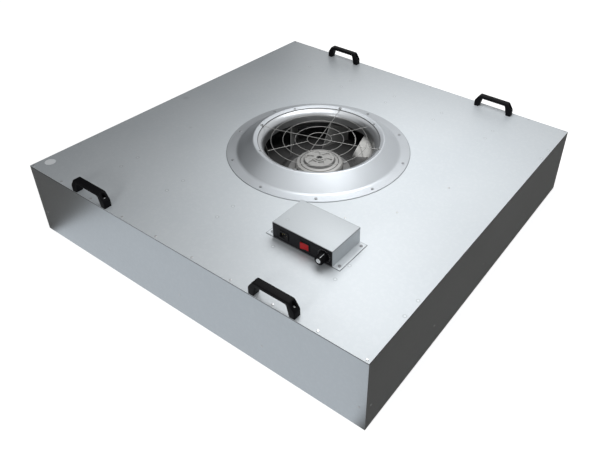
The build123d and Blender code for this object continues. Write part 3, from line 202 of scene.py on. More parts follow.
class Finish(Nodes):
    """A material under construction: plain values first, patterns over them later."""

    def __init__(self, name, colour, metallic=0.0, roughness=0.5, **constants):
        self.material = bpy.data.materials.new(name)
        super().__init__(self.material)
        self.surface = self.tree.nodes["Principled BSDF"]
        self.surface.inputs["Base Color"].default_value = (*colour, 1)
        self.surface.inputs["Metallic"].default_value = metallic
        self.surface.inputs["Roughness"].default_value = roughness
        for key, value in constants.items():
            self.surface.inputs[key.replace("_", " ")].default_value = value
        self.material.diffuse_color = (*colour, 1)
        self.colour = colour
        self._place = None

    def place(self):
        """The point on the object, in metres: a vector socket."""
        if self._place is None:
            self._place = self.node("ShaderNodeTexCoord").outputs["Object"]
        return self._place

    def axes(self):
        """X, Y and Z on the object, in metres."""
        split = self.node("ShaderNodeSeparateXYZ", None, {0: self.place()})
        return [Level(self, split.outputs[k]) for k in range(3)]

    def noise(self, size_mm, detail=3.0, stretch=(1, 1, 1), rough=0.5):
        """Cloudy noise whose lumps are about size_mm across."""
        per_metre = 1000.0 / size_mm
        scale = [s * per_metre for s in stretch]
        mapped = self.node("ShaderNodeMapping", None, {"Vector": self.place(), "Scale": scale})
        made = self.node(
            "ShaderNodeTexNoise",
            None,
            {"Vector": mapped.outputs[0], "Scale": 1.0, "Detail": detail, "Roughness": rough},
        )
        return Level(self, made.outputs[0])

    def lines_along(self, level, per_metre):
        """Fine lines that follow one distance, as a lathe or a roller leaves them."""
        sockets = {"W": level, "Scale": per_metre, "Detail": 2.0}
        made = self.node("ShaderNodeTexNoise", {"noise_dimensions": "1D"}, sockets)
        return Level(self, made.outputs[0])

    def tint(self, *layers):
        """Base colour, then layers of (mask, colour) over it."""
        under = (*self.colour, 1)
        for mask, colour in layers:
            sockets = {0: mask, 6: under, 7: (*colour, 1)}
            mix = self.node("ShaderNodeMix", {"data_type": "RGBA"}, sockets)
            under = mix.outputs[2]
        self.feed(self.surface.inputs["Base Color"], under)

    def rough(self, level):
        self.feed(self.surface.inputs["Roughness"], level)

    def bump(self, level, height_mm):
        """Raises the surface, to the eye only, by up to height_mm."""
        made = self.node("ShaderNodeBump", None, {"Height": level, "Distance": mm(height_mm)})
        self.feed(self.surface.inputs["Normal"], made.outputs[0])


# %% [markdown]
# ## Galvanised sheet
# The casing is folded from zinc-coated steel. It has a faint crystal pattern, cloudy
# handling marks and, on the top panel, small dimples where the stiffeners below are
# spot-welded on. They could be painted on an image, but sums on the point's own place stay
# sharp at any size. The welds stand in rows, so their place comes from the remainder of X.

# %% Where the box, the flange and the welds stand
BOX_X = 261.0
BOX_Y = -346.5
BOX_HALF_WIDTH = 94.0
BOX_HALF_DEPTH = 57.5
BOX_FOOT = 22.0
BOX_HEIGHT = 48.0
FLANGE_R = 280.0
WELD_ROWS = (375.0, 433.0)
WELD_PITCH = 192.5
print("welds in rows at", WELD_ROWS, "every", WELD_PITCH, "mm")

# %% The top sheet's welds and crystals
top_steel = Finish(
    "galvanised_top", (0.58, 0.62, 0.65), metallic=0.15, roughness=0.45, Specular_IOR_Level=0.4
)
x, y, z = top_steel.axes()
along = (x / mm(WELD_PITCH) + 0.5).sum("FRACT") - 0.5
to_rows = [reach(along, (y.size() - mm(row)) / mm(WELD_PITCH)) * WELD_PITCH for row in WELD_ROWS]
to_weld = to_rows[0].sum("MINIMUM", to_rows[1])
weld = to_weld.below(2.4, 1.0)
weld_ring = to_weld.near(4.4, 1.2, 0.8)
cloud = top_steel.noise(260, detail=4)
spangle = top_steel.noise(9, detail=1)
brushing = top_steel.noise(3, detail=2, stretch=(0.02, 1, 1))
top_steel.rough(0.36 + cloud * 0.10 + brushing * 0.06)
top_steel.bump(spangle * 0.25 + brushing * 0.2 - weld * 2.0, 0.12)
print("top sheet:", len(top_steel.tree.nodes), "nodes")

# %% Painted shadow lines round the flange and the box's feet; the box's top and fold; two old marks
SMUDGE = (-555.0, -33.0)
SCUFF = (-395.0, -160.0)

# Thin dark lines round the flange and round the box's feet: painted contact shadow under the
# sheets' edges.
flange_shadow_line = reach(x, y).near(mm(FLANGE_R + 0.9), mm(1.0), mm(0.5))
past_box = (y - mm(BOX_Y)).size() - mm(BOX_HALF_DEPTH)
past_foot = (x - mm(BOX_X)).size() - mm(BOX_HALF_WIDTH + BOX_FOOT)
past_side = past_foot + mm(BOX_FOOT)
foot_shadow_line = past_foot.sum("MAXIMUM", past_box).near(mm(0.8), mm(0.9), mm(0.4))
on_box = (mm(TOP + BOX_HEIGHT) - z).below(mm(2), mm(0.5))
fold = past_side.sum("MAXIMUM", past_box).near(mm(-0.4), mm(0.9), mm(0.4)) * on_box
smudge = reach(x - mm(SMUDGE[0]), y - mm(SMUDGE[1])).below(mm(9), mm(8))
scuff = reach(x - mm(SCUFF[0]), y - mm(SCUFF[1])).below(mm(5), mm(4))
top_steel.tint(
    (cloud.below(0.46, 0.12) * 0.18, (0.50, 0.55, 0.59)),
    (spangle.below(0.44, 0.06) * 0.10, (0.72, 0.75, 0.77)),
    (weld * 0.5, (0.80, 0.83, 0.85)),
    (weld_ring * 0.45, (0.34, 0.37, 0.39)),
    (flange_shadow_line.sum("MAXIMUM", foot_shadow_line) * 0.8, (0.10, 0.11, 0.12)),
    (on_box * 0.7, (0.38, 0.41, 0.43)),
    (fold * 0.7, (0.16, 0.17, 0.18)),
    (smudge * 0.35, (0.36, 0.38, 0.40)),
    (scuff * 0.3, (0.38, 0.40, 0.42)),
)
print("top sheet with its gaps:", len(top_steel.tree.nodes), "nodes")

# %% [markdown]
# ## The walls
# The walls are the same sheet, but they stand upright and mirror the floor, so they are
# mostly metal. The dark seam under the top is painted shade in the open fold between two
# sheets; a thin groove could be modelled, but at this size a painted dark line shows the same.

# %% The wall sheet
wall_steel = Finish(
    "galvanised_wall", (0.47, 0.50, 0.525), metallic=0.8, roughness=0.3, Specular_IOR_Level=0.3
)
z = wall_steel.axes()[2]
cloud = wall_steel.noise(220, detail=4)
spangle = wall_steel.noise(9, detail=1)
# A near-black band just under the top: painted shade in the open fold.
seam_shade_band = (mm(TOP) - z).below(mm(3.6), mm(0.9))
wall_steel.tint(
    (cloud.below(0.46, 0.12) * 0.18, (0.40, 0.43, 0.45)),
    (spangle.below(0.44, 0.06) * 0.10, (0.58, 0.61, 0.63)),
    (seam_shade_band * 0.85, (0.06, 0.06, 0.06)),
)
wall_steel.rough(0.34 + cloud * 0.10)
wall_steel.bump(spangle, 0.04)
print("wall sheet:", len(wall_steel.tree.nodes), "nodes")

# %% [markdown]
# ## Spun metal
# A spun part shows fine rings from the roller. They could be cut as grooves, but they are
# finer than a face can be, so a noise of one dimension follows the distance from the axis.

# %% Finishes of the collar and the bell
LATHE_LINES = 900.0  # lines in a metre
COLLAR_BORE = 186.0

spun = Finish("spun_steel", (0.44, 0.465, 0.49), metallic=0.9, roughness=0.42)
x, y, z = spun.axes()
radius = reach(x, y)
rings = spun.lines_along(radius, LATHE_LINES)
cloud = spun.noise(90, detail=3)
# A near-black ring at the collar's inner edge: painted shadow of the lip over the bell.
lip_edge_shadow = radius.below(mm(COLLAR_BORE + 1.3), mm(0.7)) * (1 - z.below(mm(TOP + 32), mm(0.5)))
spun.tint(
    (cloud.below(0.45, 0.12) * 0.2, (0.38, 0.40, 0.42)),
    (lip_edge_shadow * 0.9, (0.07, 0.07, 0.07)),
)
spun.rough(0.40 + rings * 0.10 + cloud * 0.08)
spun.bump(rings, 0.05)

throat = Finish("rolled_steel", (0.41, 0.425, 0.44), metallic=0.85, roughness=0.36)
x, y, z = throat.axes()
rings = throat.lines_along(z, LATHE_LINES)
# The bell's brim under the collar's lip is painted near black as shade, and its wall darker
# towards the fan as a painted reflection of the dark inside.
shade_under_lip = 1 - reach(x, y).below(mm(COLLAR_BORE - 0.4), mm(0.9))
dark_inside_reflection = z.below(mm(TOP + 17), mm(9))
throat.tint((dark_inside_reflection * 0.7, (0.24, 0.24, 0.24)), (shade_under_lip * 0.9, (0.06, 0.06, 0.06)))
throat.rough(0.28 + rings * 0.12)
throat.bump(rings, 0.05)
print("inlet:", len(spun.tree.nodes) + len(throat.tree.nodes), "nodes")

# %% [markdown]
# ## The fan's metals
# The guard's wire is plated; the impeller is dusty sheet, and its sheet and blades are painted
# near black and dark grey, as painted shade of the casing's dark inside; and the motor's cup is
# cast aluminium, which is mottled and slightly sandy. Each gets a noise of its own grain size;
# the cup's turned groove and bore are rings of a fixed radius, painted dark as shade in them.

# %% Wire, fan sheet and blades
wire = Finish("plated_wire", (0.31, 0.31, 0.30), metallic=0.5, roughness=0.4)
wire.rough(0.26 + wire.noise(6) * 0.16)

# Sheet inside the casing, painted near black: painted shade of the dark inside.
fan_sheet = Finish("fan_sheet", (0.05, 0.05, 0.05), metallic=0.2, roughness=0.5)
cloud = fan_sheet.noise(40, detail=4)
fan_sheet.tint((cloud.below(0.47, 0.1) * 0.3, (0.035, 0.035, 0.035)))
fan_sheet.rough(0.42 + cloud * 0.14)

# Blades painted dark grey, darker than bare aluminium: painted shade inside the casing; only the
# beam lights one of them.
blade_sheet_in_shade = Finish("blade_aluminium_in_shade", (0.25, 0.25, 0.245), metallic=0.2, roughness=0.55)
cloud = blade_sheet_in_shade.noise(30, detail=4)
blade_sheet_in_shade.tint((cloud.below(0.47, 0.1) * 0.2, (0.20, 0.20, 0.195)))
blade_sheet_in_shade.rough(0.44 + cloud * 0.14)
print("materials so far:", len(bpy.data.materials))

# %% The cast cup
CUP_BORE = 9.5
CUP_CROWN_R = 48.0
CUP_GROOVE_R = 60.0
CUP_RIM_R = 74.0

cast = Finish("cast_aluminium", (0.42, 0.42, 0.41), metallic=0.35, roughness=0.48)
mottle = cast.noise(11, detail=4, rough=0.65)
sand = cast.noise(1.6, detail=1)
x, y, _ = cast.axes()
radius = reach(x, y)
# Dark rings in the bore, round the crown's foot and in the groove: painted shade in these
# hollows.
bore_shade = radius.below(mm(CUP_BORE), mm(1.5))
crown_foot_shade = radius.near(mm(CUP_CROWN_R), mm(2.6), mm(1.6))
groove_shade = radius.near(mm(CUP_GROOVE_R), mm(1.4), mm(0.7))
rim = 1 - radius.below(mm(CUP_RIM_R), mm(1.0))
cast.tint(
    (mottle.below(0.47, 0.16) * 0.25, (0.32, 0.32, 0.32)),
    (rim * 0.8, (0.16, 0.16, 0.16)),
    (crown_foot_shade * 0.7, (0.14, 0.14, 0.14)),
    (groove_shade.sum("MAXIMUM", bore_shade) * 0.9, (0.05, 0.05, 0.05)),
)
cast.rough(0.42 + mottle * 0.14)
cast.bump(sand * 0.4 + mottle, 0.12)
print("cast cup:", len(cast.tree.nodes), "nodes")

# %% Steel, zinc, rivets and copper
bare_steel = Finish("bare_steel", (0.50, 0.51, 0.52), metallic=0.7, roughness=0.4)
bare_steel.rough(0.32 + bare_steel.noise(12) * 0.2)

zinc = Finish("zinc_fastener", (0.50, 0.51, 0.52), metallic=0.75, roughness=0.3)
zinc.rough(0.22 + zinc.noise(2.5) * 0.2)

bright_screw = Finish("bright_screw", (0.85, 0.86, 0.87), metallic=0.45, roughness=0.3)
bright_screw.rough(0.24 + bright_screw.noise(2.5) * 0.2)

# Darker than bare steel: partly a dull finish, partly painted shade of the dimples and recesses
# in small heads and round them.
dull_and_shaded = Finish("dulled_rivet_and_shade", (0.26, 0.27, 0.28), metallic=0.5, roughness=0.45)
dull_and_shaded.rough(0.38 + dull_and_shaded.noise(2.5) * 0.2)

copper = Finish("varnished_copper", (0.45, 0.20, 0.09), metallic=0.5, roughness=0.35)
copper.bump(copper.noise(1.5, stretch=(1, 1, 6)), 0.5)
print("materials so far:", len(bpy.data.materials))

# %% [markdown]
# ## Plastics and the dial
# The handles and the knob are moulded in a black nylon with a fine grain; the sockets are
# glossier. The dial's scale is printed on the panel. It could be laid on as thin bars,
# but print has no thickness, so its marks come from the angle round the knob.

# %% Black plastics
handle_black = Finish(
    "moulded_black", (0.004, 0.004, 0.005), roughness=0.55, Specular_IOR_Level=0.06
)
handle_black.rough(0.42 + handle_black.noise(25) * 0.16)
handle_black.bump(handle_black.noise(0.9, detail=2), 0.05)

gloss_black = Finish(
    "socket_black", (0.006, 0.006, 0.007), roughness=0.35, Specular_IOR_Level=0.25
)
gloss_black.rough(0.24 + gloss_black.noise(8) * 0.14)
print("materials so far:", len(bpy.data.materials))

# %% The panel and its printed scale
KNOB = (329.0, -403.6, 251.0)  # where the knob's axis meets the front panel
DIAL_MARKS = 24.0  # scale divisions in a whole turn
DIAL_MARK_R = 18.0
DIAL_GAP = 30.0  # degrees either side of straight down that carry no mark

panel_black = Finish("panel_black", (0.008, 0.008, 0.010), roughness=0.45, Specular_IOR_Level=0.2)
x, _, z = panel_black.axes()
dial_x = x - mm(KNOB[0])
dial_z = z - mm(KNOB[2])
dial_turn = dial_x.sum("ARCTAN2", dial_z) / (2 * pi)
division = ((dial_turn * DIAL_MARKS).sum("FRACT") - 0.5).size()
mark = (0.5 - division).below(0.07, 0.02)
band = reach(dial_x, dial_z).near(mm(DIAL_MARK_R), mm(1.1), mm(0.2))
marked_turn = 1 - (0.5 - dial_turn.size()).below(DIAL_GAP / 360, 0.005)
panel_black.tint((mark * band * marked_turn, (0.45, 0.45, 0.44)))
panel_black.rough(0.40 + panel_black.noise(14) * 0.14)
panel_black.bump(panel_black.noise(1.1), 0.03)
print("panel:", len(panel_black.tree.nodes), "nodes")

# %% The rocker, the knob's cap and the pins
switch_red = Finish("switch_red", (0.50, 0.002, 0.006), roughness=0.3, Specular_IOR_Level=0.35)
switch_red.tint((switch_red.noise(5).below(0.45, 0.15) * 0.3, (0.30, 0.004, 0.008)))

CAP_LINES = 2500.0  # turned lines in a metre
cap_silver = Finish("cap_silver", (0.86, 0.87, 0.88), metallic=0.7, roughness=0.25)
x, _, z = cap_silver.axes()
radius = reach(x - mm(KNOB[0]), z - mm(KNOB[2]))
cap_silver.rough(0.18 + cap_silver.lines_along(radius, CAP_LINES) * 0.2)

brass = Finish("plated_brass", (0.40, 0.34, 0.20), metallic=0.85, roughness=0.3)
brass.rough(0.24 + brass.noise(3) * 0.15)
print("materials so far:", len(bpy.data.materials))

# %% [markdown]
# ## Board, rubber and paper
# These are matt things, most of them hidden. The filter's paper gets stretched noise, which
# reads as fibres; the sticker is a smoother, brighter paper.

# %% The matt finishes
board_green = Finish("board_green", (0.04, 0.22, 0.09), roughness=0.45)
board_green.tint((board_green.noise(3, detail=0).below(0.4, 0.02) * 0.6, (0.02, 0.12, 0.05)))

rubber = Finish("foam_rubber", (0.03, 0.03, 0.03), roughness=0.8)
rubber.bump(rubber.noise(2), 0.3)

sticker = Finish("sticker_paper", (0.93, 0.97, 1.0), roughness=0.6)
sticker.tint((sticker.noise(7).below(0.42, 0.1) * 0.12, (0.82, 0.86, 0.89)))

paper = Finish("filter_paper", (0.88, 0.88, 0.85), roughness=0.85)
fibres = paper.noise(1.4, detail=4, stretch=(1, 0.3, 1))
paper.tint((fibres.below(0.45, 0.12) * 0.3, (0.74, 0.74, 0.70)))
paper.bump(fibres, 0.15)
print("finishes:", len(bpy.data.materials))

# %% [markdown]
# ## Dressing the nodes that keep their own shape
# Flat folded sheet is already right as a solid, so it only takes a finish, and so do the
# parts that are hidden inside. Drawing them again would add faces that nobody sees.

# %% Which finish goes on which solid node
NODE_FINISH = {
    top_steel: ["top_panel"],
    wall_steel: ["front_panel", "rear_panel", "left_panel", "right_panel"],
    bare_steel: ["filter_rails", "top_stiffeners", "fan_hangers", "filter_clips", "rotor_ring",
                 "motor_shaft", "stator_core", "upper_bearing", "lower_bearing"],
    fan_sheet: ["fan_deck", "impeller_back_plate", "impeller_shroud"],
    blade_sheet_in_shade: ["impeller_blades"],
    cast: ["motor_rotor", "stator_carrier", "filter_frame"],
    zinc: ["rotor_screws", "motor_bolts", "control_nut", "board_spacers", "speed_control",
           "control_shaft"],
    copper: ["stator_windings"],
    gloss_black: ["terminal_block", "capacitor"],
    brass: ["inlet_pins"],
    board_green: ["control_board"],
    rubber: ["cable_grommet", "filter_gasket"],
    paper: ["filter_media"],
}
print("solid nodes that keep their shape:", sum(len(nodes) for nodes in NODE_FINISH.values()))

# %% Put them on
def dress(piece, finish):
    """Takes off what a piece wears and gives it one finish."""
    piece.data.materials.clear()
    piece.data.materials.append(finish.material)


for finish, nodes in NODE_FINISH.items():
    for node in nodes:
        dress(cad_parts[node], finish)
    print("%-22s on %d nodes" % (finish.material.name, len(nodes)))

# %% [markdown]
# ## The spun inlet
# Real spinning leaves no sharp corner: the disc is pressed over a former, and the metal
# flows round it. One way to make it is a curve with a screw modifier; here the section
# is drawn point by point, its corners are rounded with a vertex bevel, and the spin
# operator carries it round the axis, which is what the lathe does.

# %% Draw a line, and finish a mesh
def outline(name, points, close=True):
    """Draws a line from point to point by extruding one vertex, as with a pen."""
    select()
    bpy.ops.mesh.primitive_plane_add(size=mm(1), location=mm(*points[0]))
    piece = bpy.context.object
    piece.name = name
    bpy.ops.object.mode_set(mode="EDIT")
    bpy.ops.mesh.select_mode(type="VERT")
    bpy.ops.mesh.select_all(action="SELECT")
    bpy.ops.mesh.merge(type="CENTER")
    for a, b in zip(points, points[1:]):
        step = mm(*b) - mm(*a)
        bpy.ops.mesh.extrude_region_move(TRANSFORM_OT_translate={"value": step})
    if close:
        bpy.ops.mesh.select_all(action="SELECT")
        bpy.ops.mesh.edge_face_add()
    bpy.ops.object.mode_set(mode="OBJECT")
    bpy.ops.object.transform_apply(location=True, rotation=True, scale=True)
    return piece


def tidy(piece, angle):
    """Merges doubles, turns the faces outwards and smooths edges gentler than an angle."""
    edit(piece)
    bpy.ops.mesh.remove_doubles(threshold=mm(0.01))
    bpy.ops.mesh.normals_make_consistent(inside=False)
    done()
    select(piece)
    bpy.ops.object.transform_apply(location=True, rotation=True, scale=True)
    bpy.ops.object.shade_smooth_by_angle(angle=radians(angle))
    return piece


# %% Spin a section round the axis
RING_STEPS = 128


def spin(name, section, rounds):
    """section: closed list of (radius, height). rounds: {index: corner radius}."""
    piece = outline(name, [(r, 0, h) for r, h in section])
    for size in sorted(set(rounds.values())):
        wanted = [mm(section[i][0], 0, section[i][1]) for i, s in rounds.items() if s == size]
        edit(piece, "VERT", lambda v: min((v.co - w).length for w in wanted) < mm(0.02))
        bpy.ops.mesh.bevel(offset=mm(size), offset_type="OFFSET", segments=6, affect="VERTICES")
        done()
    edit(piece)
    bpy.ops.mesh.spin(
        steps=RING_STEPS, angle=2 * pi, center=(0, 0, 0), axis=(0, 0, 1), dupli=False)
    done()
    edit(piece)
    bpy.ops.mesh.remove_doubles(threshold=mm(0.01))
    bpy.ops.mesh.select_all(action="DESELECT")
    bpy.ops.mesh.select_interior_faces()
    bpy.ops.mesh.delete(type="FACE")
    done()
    return tidy(piece, 40)


# %% Spin the collar and the bell
def wear(piece, finish, body, slot, *nodes):
    """Gives a finished piece its material, its body and the nodes that it stands for."""
    dress(piece, finish)
    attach(piece, body)
    if nodes:
        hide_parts(*nodes)
    print("%-18s %6d faces" % (piece.name, len(piece.data.polygons)))


FOOT_R = 249.5  # where the cone rises from the flange
CREST_R = 199.5
BELL_R = 194.0
THROAT_R = 169.0
BELL_SHEET = 1.2

collar = spin(
    "spun_collar",
    [(FLANGE_R, TOP + 1.5), (FOOT_R, TOP + 1.5), (CREST_R, TOP + 41.6), (COLLAR_BORE, TOP + 35.4),
     (COLLAR_BORE, TOP + 33.9), (CREST_R, TOP + 40), (FOOT_R - 0.6, TOP), (FLANGE_R, TOP)],
    {1: 5.0, 2: 3.2, 5: 2.2, 6: 4.0},
)
wear(collar, spun, "casing", "inlet_paint", "inlet_collar")

bell = spin(
    "rolled_bell",
    [(BELL_R, TOP + 37.4), (THROAT_R, TOP + 25.7), (THROAT_R, TOP - 8),
     (THROAT_R + BELL_SHEET, TOP - 8), (THROAT_R + BELL_SHEET, TOP + 24.9),
     (BELL_R + 0.4, TOP + 37.4 - BELL_SHEET)],
    {1: 15.0, 4: 14.0},
)
wear(bell, throat, "casing", "inlet_paint", "bell_mouth")

# %% [markdown]
# ## The wire guard
# A guard like this is bent from round wire and spot-welded where the wires cross. An edge
# turned into a curve takes a round section for free, so each wire is first drawn as a
# plain line, then converted to a curve, given its thickness and made a mesh again.

# %% Round wire from a drawn line
WIRE_R = 0.78
WIRE_ROUNDNESS = 3  # makes ten faces round the wire


def round_wire(line):
    """Turns a line of edges into round wire."""
    select(line)
    bpy.ops.object.convert(target="CURVE")
    line.data.bevel_depth = mm(WIRE_R)
    line.data.bevel_resolution = WIRE_ROUNDNESS
    line.data.use_fill_caps = True
    bpy.ops.object.convert(target="MESH")
    return bpy.context.object


# %% The guard's spokes and feet
GUARD_RINGS = (37.0, 74.0, 111.0, 147.0)
GUARD_Z = TOP + 30.9
SPOKE_Z = GUARD_Z + 1.6  # the spokes lie on the rings
SPOKE_TURN = 17.0  # degrees from X to the first long spoke
SHORT_SPOKES = (63.0, 243.0)
LIP_MIDDLE = 191.2
LIP_Z = TOP + 38.6
LIP_SLOPE = atan(0.4593)


def spoke(turn, stations):
    """stations: (distance from the axis, height)."""
    points = [(r * cos(turn), r * sin(turn), h) for r, h in stations]
    return round_wire(outline("spoke", points, close=False))


def foot_eye(turn):
    """The eye in which a long spoke ends, under its screw on the sloping lip."""
    select()
    bpy.ops.mesh.primitive_torus_add(
        major_radius=mm(4.2), minor_radius=mm(0.9), major_segments=24, minor_segments=8,
        location=mm(LIP_MIDDLE * cos(turn), LIP_MIDDLE * sin(turn), LIP_Z + 0.2),
        rotation=(0, -LIP_SLOPE, turn))
    return bpy.context.object


# %% Put the guard together
def join(name, pieces):
    select(*pieces)
    bpy.ops.object.join()
    whole = bpy.context.object
    whole.name = name
    return whole


wires = []
for ring_r in GUARD_RINGS:
    select()
    bpy.ops.mesh.primitive_circle_add(vertices=96, radius=mm(ring_r), location=mm(0, 0, GUARD_Z))
    wires.append(round_wire(bpy.context.object))
long_turns = [SPOKE_TURN + 90 * quarter for quarter in range(4)]
bent = [(0, SPOKE_Z), (146, SPOKE_Z), (154, SPOKE_Z + 0.3), (COLLAR_BORE, LIP_Z - 1.2)]
for turn in long_turns:
    wires.append(spoke(radians(turn), bent))
    wires.append(foot_eye(radians(turn)))
for turn in SHORT_SPOKES:
    wires.append(spoke(radians(turn), [(37, SPOKE_Z), (60, SPOKE_Z), (167, SPOKE_Z)]))
guard = tidy(join("wire_guard", wires), 60)
wear(guard, wire, "casing", "guard_wire", "inlet_guard")

# %% [markdown]
# ## Rivets and screws
# Small fasteners give a sheet-metal box its scale. A blind rivet is a shallow dome with a
# dimple where its pin broke off; a pan-head screw has a cross recess. A bump in the
# finish would look flat from the side, so each kind is modelled once from a cylinder and
# copied to every hole.

# %% A blank, and a rounded top for it
def facing_up(face):
    return face.normal.z > 0.9


def blank(radius, height, sides):
    """A plain cylinder standing on z = 0."""
    select()
    bpy.ops.mesh.primitive_cylinder_add(
        vertices=sides, radius=mm(radius), depth=mm(height), location=mm(0, 0, height / 2))
    bpy.ops.object.transform_apply(location=True)
    return bpy.context.object


def ease_top(head, height, share, segments):
    """Rounds the edges that lie at the blank's top by a share of its height."""
    def at_top(edge):
        return all(abs(head.data.vertices[v].co.z - mm(height)) < 1e-6 for v in edge.vertices)

    edit(head, "EDGE", at_top)
    bpy.ops.mesh.bevel(offset=mm(height * share), segments=segments)
    done()


# %% A blind rivet
def dome_rivet(radius, height, dimple):
    """Blind rivet head standing on z = 0."""
    head = blank(radius, height, 24)
    edit(head, "FACE", facing_up)
    bpy.ops.mesh.inset(thickness=mm(radius * 0.28), depth=0)
    bpy.ops.transform.translate(value=mm(0, 0, height * 0.18))
    bpy.ops.mesh.inset(thickness=mm(radius * 0.72 - dimple), depth=0)
    bpy.ops.mesh.extrude_region_move(TRANSFORM_OT_translate={"value": mm(0, 0, -height * 0.45)})
    bpy.ops.transform.resize(value=(0.8, 0.8, 1))
    done()
    ease_top(head, height, 0.45, 3)
    return tidy(head, 50)


# %% A cross-headed screw
def apply(piece, kind, **settings):
    """Adds one modifier, sets it and applies it."""
    select(piece)
    modifier = piece.modifiers.new("step", kind)
    for key, value in settings.items():
        setattr(modifier, key, value)
    bpy.ops.object.modifier_apply(modifier=modifier.name)


def cross_screw(radius, height, recess):
    """Pan-head screw head standing on z = 0, with a cross recess."""
    head = blank(radius, height, 32)
    ease_top(head, height, 0.5, 4)
    for turn in (0, pi / 2):
        select()
        bpy.ops.mesh.primitive_cube_add(size=1, location=mm(0, 0, height), rotation=(0, 0, turn))
        slot = bpy.context.object
        slot.scale = mm(recess * 2, recess * 0.5, height * 1.1)
        bpy.ops.object.transform_apply(location=True, rotation=True, scale=True)
        apply(head, "BOOLEAN", operation="DIFFERENCE", object=slot, solver="EXACT")
        bpy.data.objects.remove(slot)
    return tidy(head, 40)


# %% Stand heads on faces
def on_face(point, outward, turn=0.0):
    """Stands a head modelled on z = 0 at a point, facing outward."""
    facing = Vector(outward).to_track_quat("Z", "Y").to_matrix().to_4x4()
    return Matrix.Translation(mm(*point)) @ facing @ Matrix.Rotation(turn, 4, "Z")


def copies(model, places):
    """A copy of a piece's mesh at each place; the model itself is removed."""
    made = []
    for place in places:
        twin = bpy.data.objects.new(model.name, model.data.copy())
        bpy.context.collection.objects.link(twin)
        twin.data.transform(place)
        made.append(twin)
    bpy.data.objects.remove(model)
    return made


def fasten(name, head, places, finish, node):
    """Copies a head to its places, as one piece that stands for a node."""
    heads = join(name, copies(head, places))
    wear(heads, finish, "casing", "fastener_steel", node)


# %% Rivets along the edges and round the collar
UP = (0, 0, 1)
EDGE_PITCH = 128.4
EDGE_ROW = 580.5
STIFFENER_RIVETS = [(268.0, -233.0), (366.0, -129.0), (423.0, 58.0)]
COLLAR_RIVET_R = 266.0
COLLAR_RIVETS = 10

row = [(k - 4.5) * EDGE_PITCH for k in range(10)]
spots = [(across, side * EDGE_ROW) for across in row for side in (-1, 1)] + STIFFENER_RIVETS
places = [on_face((*spot, TOP), UP) for spot in spots]
fasten("edge_rivets", dome_rivet(3.4, 1.0, 1.1), places, zinc, "panel_rivets")

turns = [radians(360 / COLLAR_RIVETS * (k + 0.5)) for k in range(COLLAR_RIVETS)]
spots = [(COLLAR_RIVET_R * cos(a), COLLAR_RIVET_R * sin(a), TOP + 1.5) for a in turns]
places = [on_face(spot, UP) for spot in spots]
fasten("inlet_rivets", dome_rivet(4.4, 1.6, 1.3), places, dull_and_shaded, "collar_rivets")

# %% Rivets on the walls
CASE_HALF = 587.5
WALL_PITCH = 284.0
WALL_ROW = 70.0  # height of the rivets on the walls

places = []
for outward in ((-1, 0, 0), (0, -1, 0), (1, 0, 0), (0, 1, 0)):
    for k in range(-2, 3):
        spot = [CASE_HALF * outward[0], CASE_HALF * outward[1], WALL_ROW]
        spot[0 if outward[0] == 0 else 1] = k * WALL_PITCH
        places.append(on_face(spot, outward))
fasten("wall_rivets", dome_rivet(3.4, 0.5, 1.1), places, zinc, "side_rivets")

# %% Rivets and screws on the inlet's lip
LIP_FACE = TOP + 37.85
LIP_RIVET_TURN = 62.5


def on_lip(angle, lift=0.0):
    """A place on the inlet's inner lip, which slopes down towards the fan."""
    a = radians(angle)
    outward = (-sin(LIP_SLOPE) * cos(a), -sin(LIP_SLOPE) * sin(a), cos(LIP_SLOPE))
    point = [LIP_MIDDLE * cos(a), LIP_MIDDLE * sin(a), LIP_FACE]
    return on_face([p + lift * o for p, o in zip(point, outward)], outward, a)


places = [on_lip(LIP_RIVET_TURN + 90 * quarter) for quarter in range(4)]
fasten("lip_rivets", dome_rivet(3.4, 1.2, 1.0), places, dull_and_shaded, "bell_rivets")
places = [on_lip(turn, 1.0) for turn in long_turns]
fasten("lip_screws", cross_screw(4.0, 2.2, 2.0), places, dull_and_shaded, "guard_screws")

# %% Screws of the control box
BOX_SCREW_X = 106.5  # from the box's middle
BOX_SCREW_Y = 45.5
BOX_SHEET = 1.2

corners = [(sx, sy) for sx in (-1, 1) for sy in (-1, 1)]
spots = [
    (BOX_X + sx * BOX_SCREW_X, BOX_Y + sy * BOX_SCREW_Y, TOP + BOX_SHEET) for sx, sy in corners
]
places = [on_face(spot, UP, 0.4 + k) for k, spot in enumerate(spots)]
fasten("cover_screws", cross_screw(4.0, 2.2, 2.1), places, dull_and_shaded, "box_screws")

# %% Screws of the handles
HANDLE_PLACES = {
    "handle_front_left": (-321.5, -576.4),
    "handle_front_right": (321.5, -576.4),
    "handle_rear_left": (-321.5, 568.0),
    "handle_rear_right": (321.5, 568.0),
}
GRIP_SCREW = 58.5  # from the handle's middle to its screws
POCKET_FLOOR = 20.0  # above the top panel

spots = [
    (hx + side * GRIP_SCREW, hy, TOP + POCKET_FLOOR)
    for hx, hy in HANDLE_PLACES.values() for side in (-1, 1)
]
places = [on_face(spot, UP, 0.7 * k) for k, spot in enumerate(spots)]
fasten("grip_screws", cross_screw(4.5, 7.0, 2.4), places, bright_screw, "handle_screws")

# %% [markdown]
# ## Moulded handles
# Each lifting handle is one nylon moulding: two feet, sloping shoulders with a deep screw
# pocket, and a bar for four fingers. Its side view is drawn as an outline, extruded to
# its depth, and every long edge is rounded; the pockets are cut last so they stay crisp.

# %% Mould a handle
HANDLE_DEPTH = 22.0
# its side view, as (across, up) from the middle of its foot
HANDLE_SIDE = [(-52, 0), (-68.5, 0), (-68.5, 20), (-53.5, 42.5), (53.5, 42.5),
               (68.5, 20), (68.5, 0), (52, 0), (44, 32), (-44, 32)]


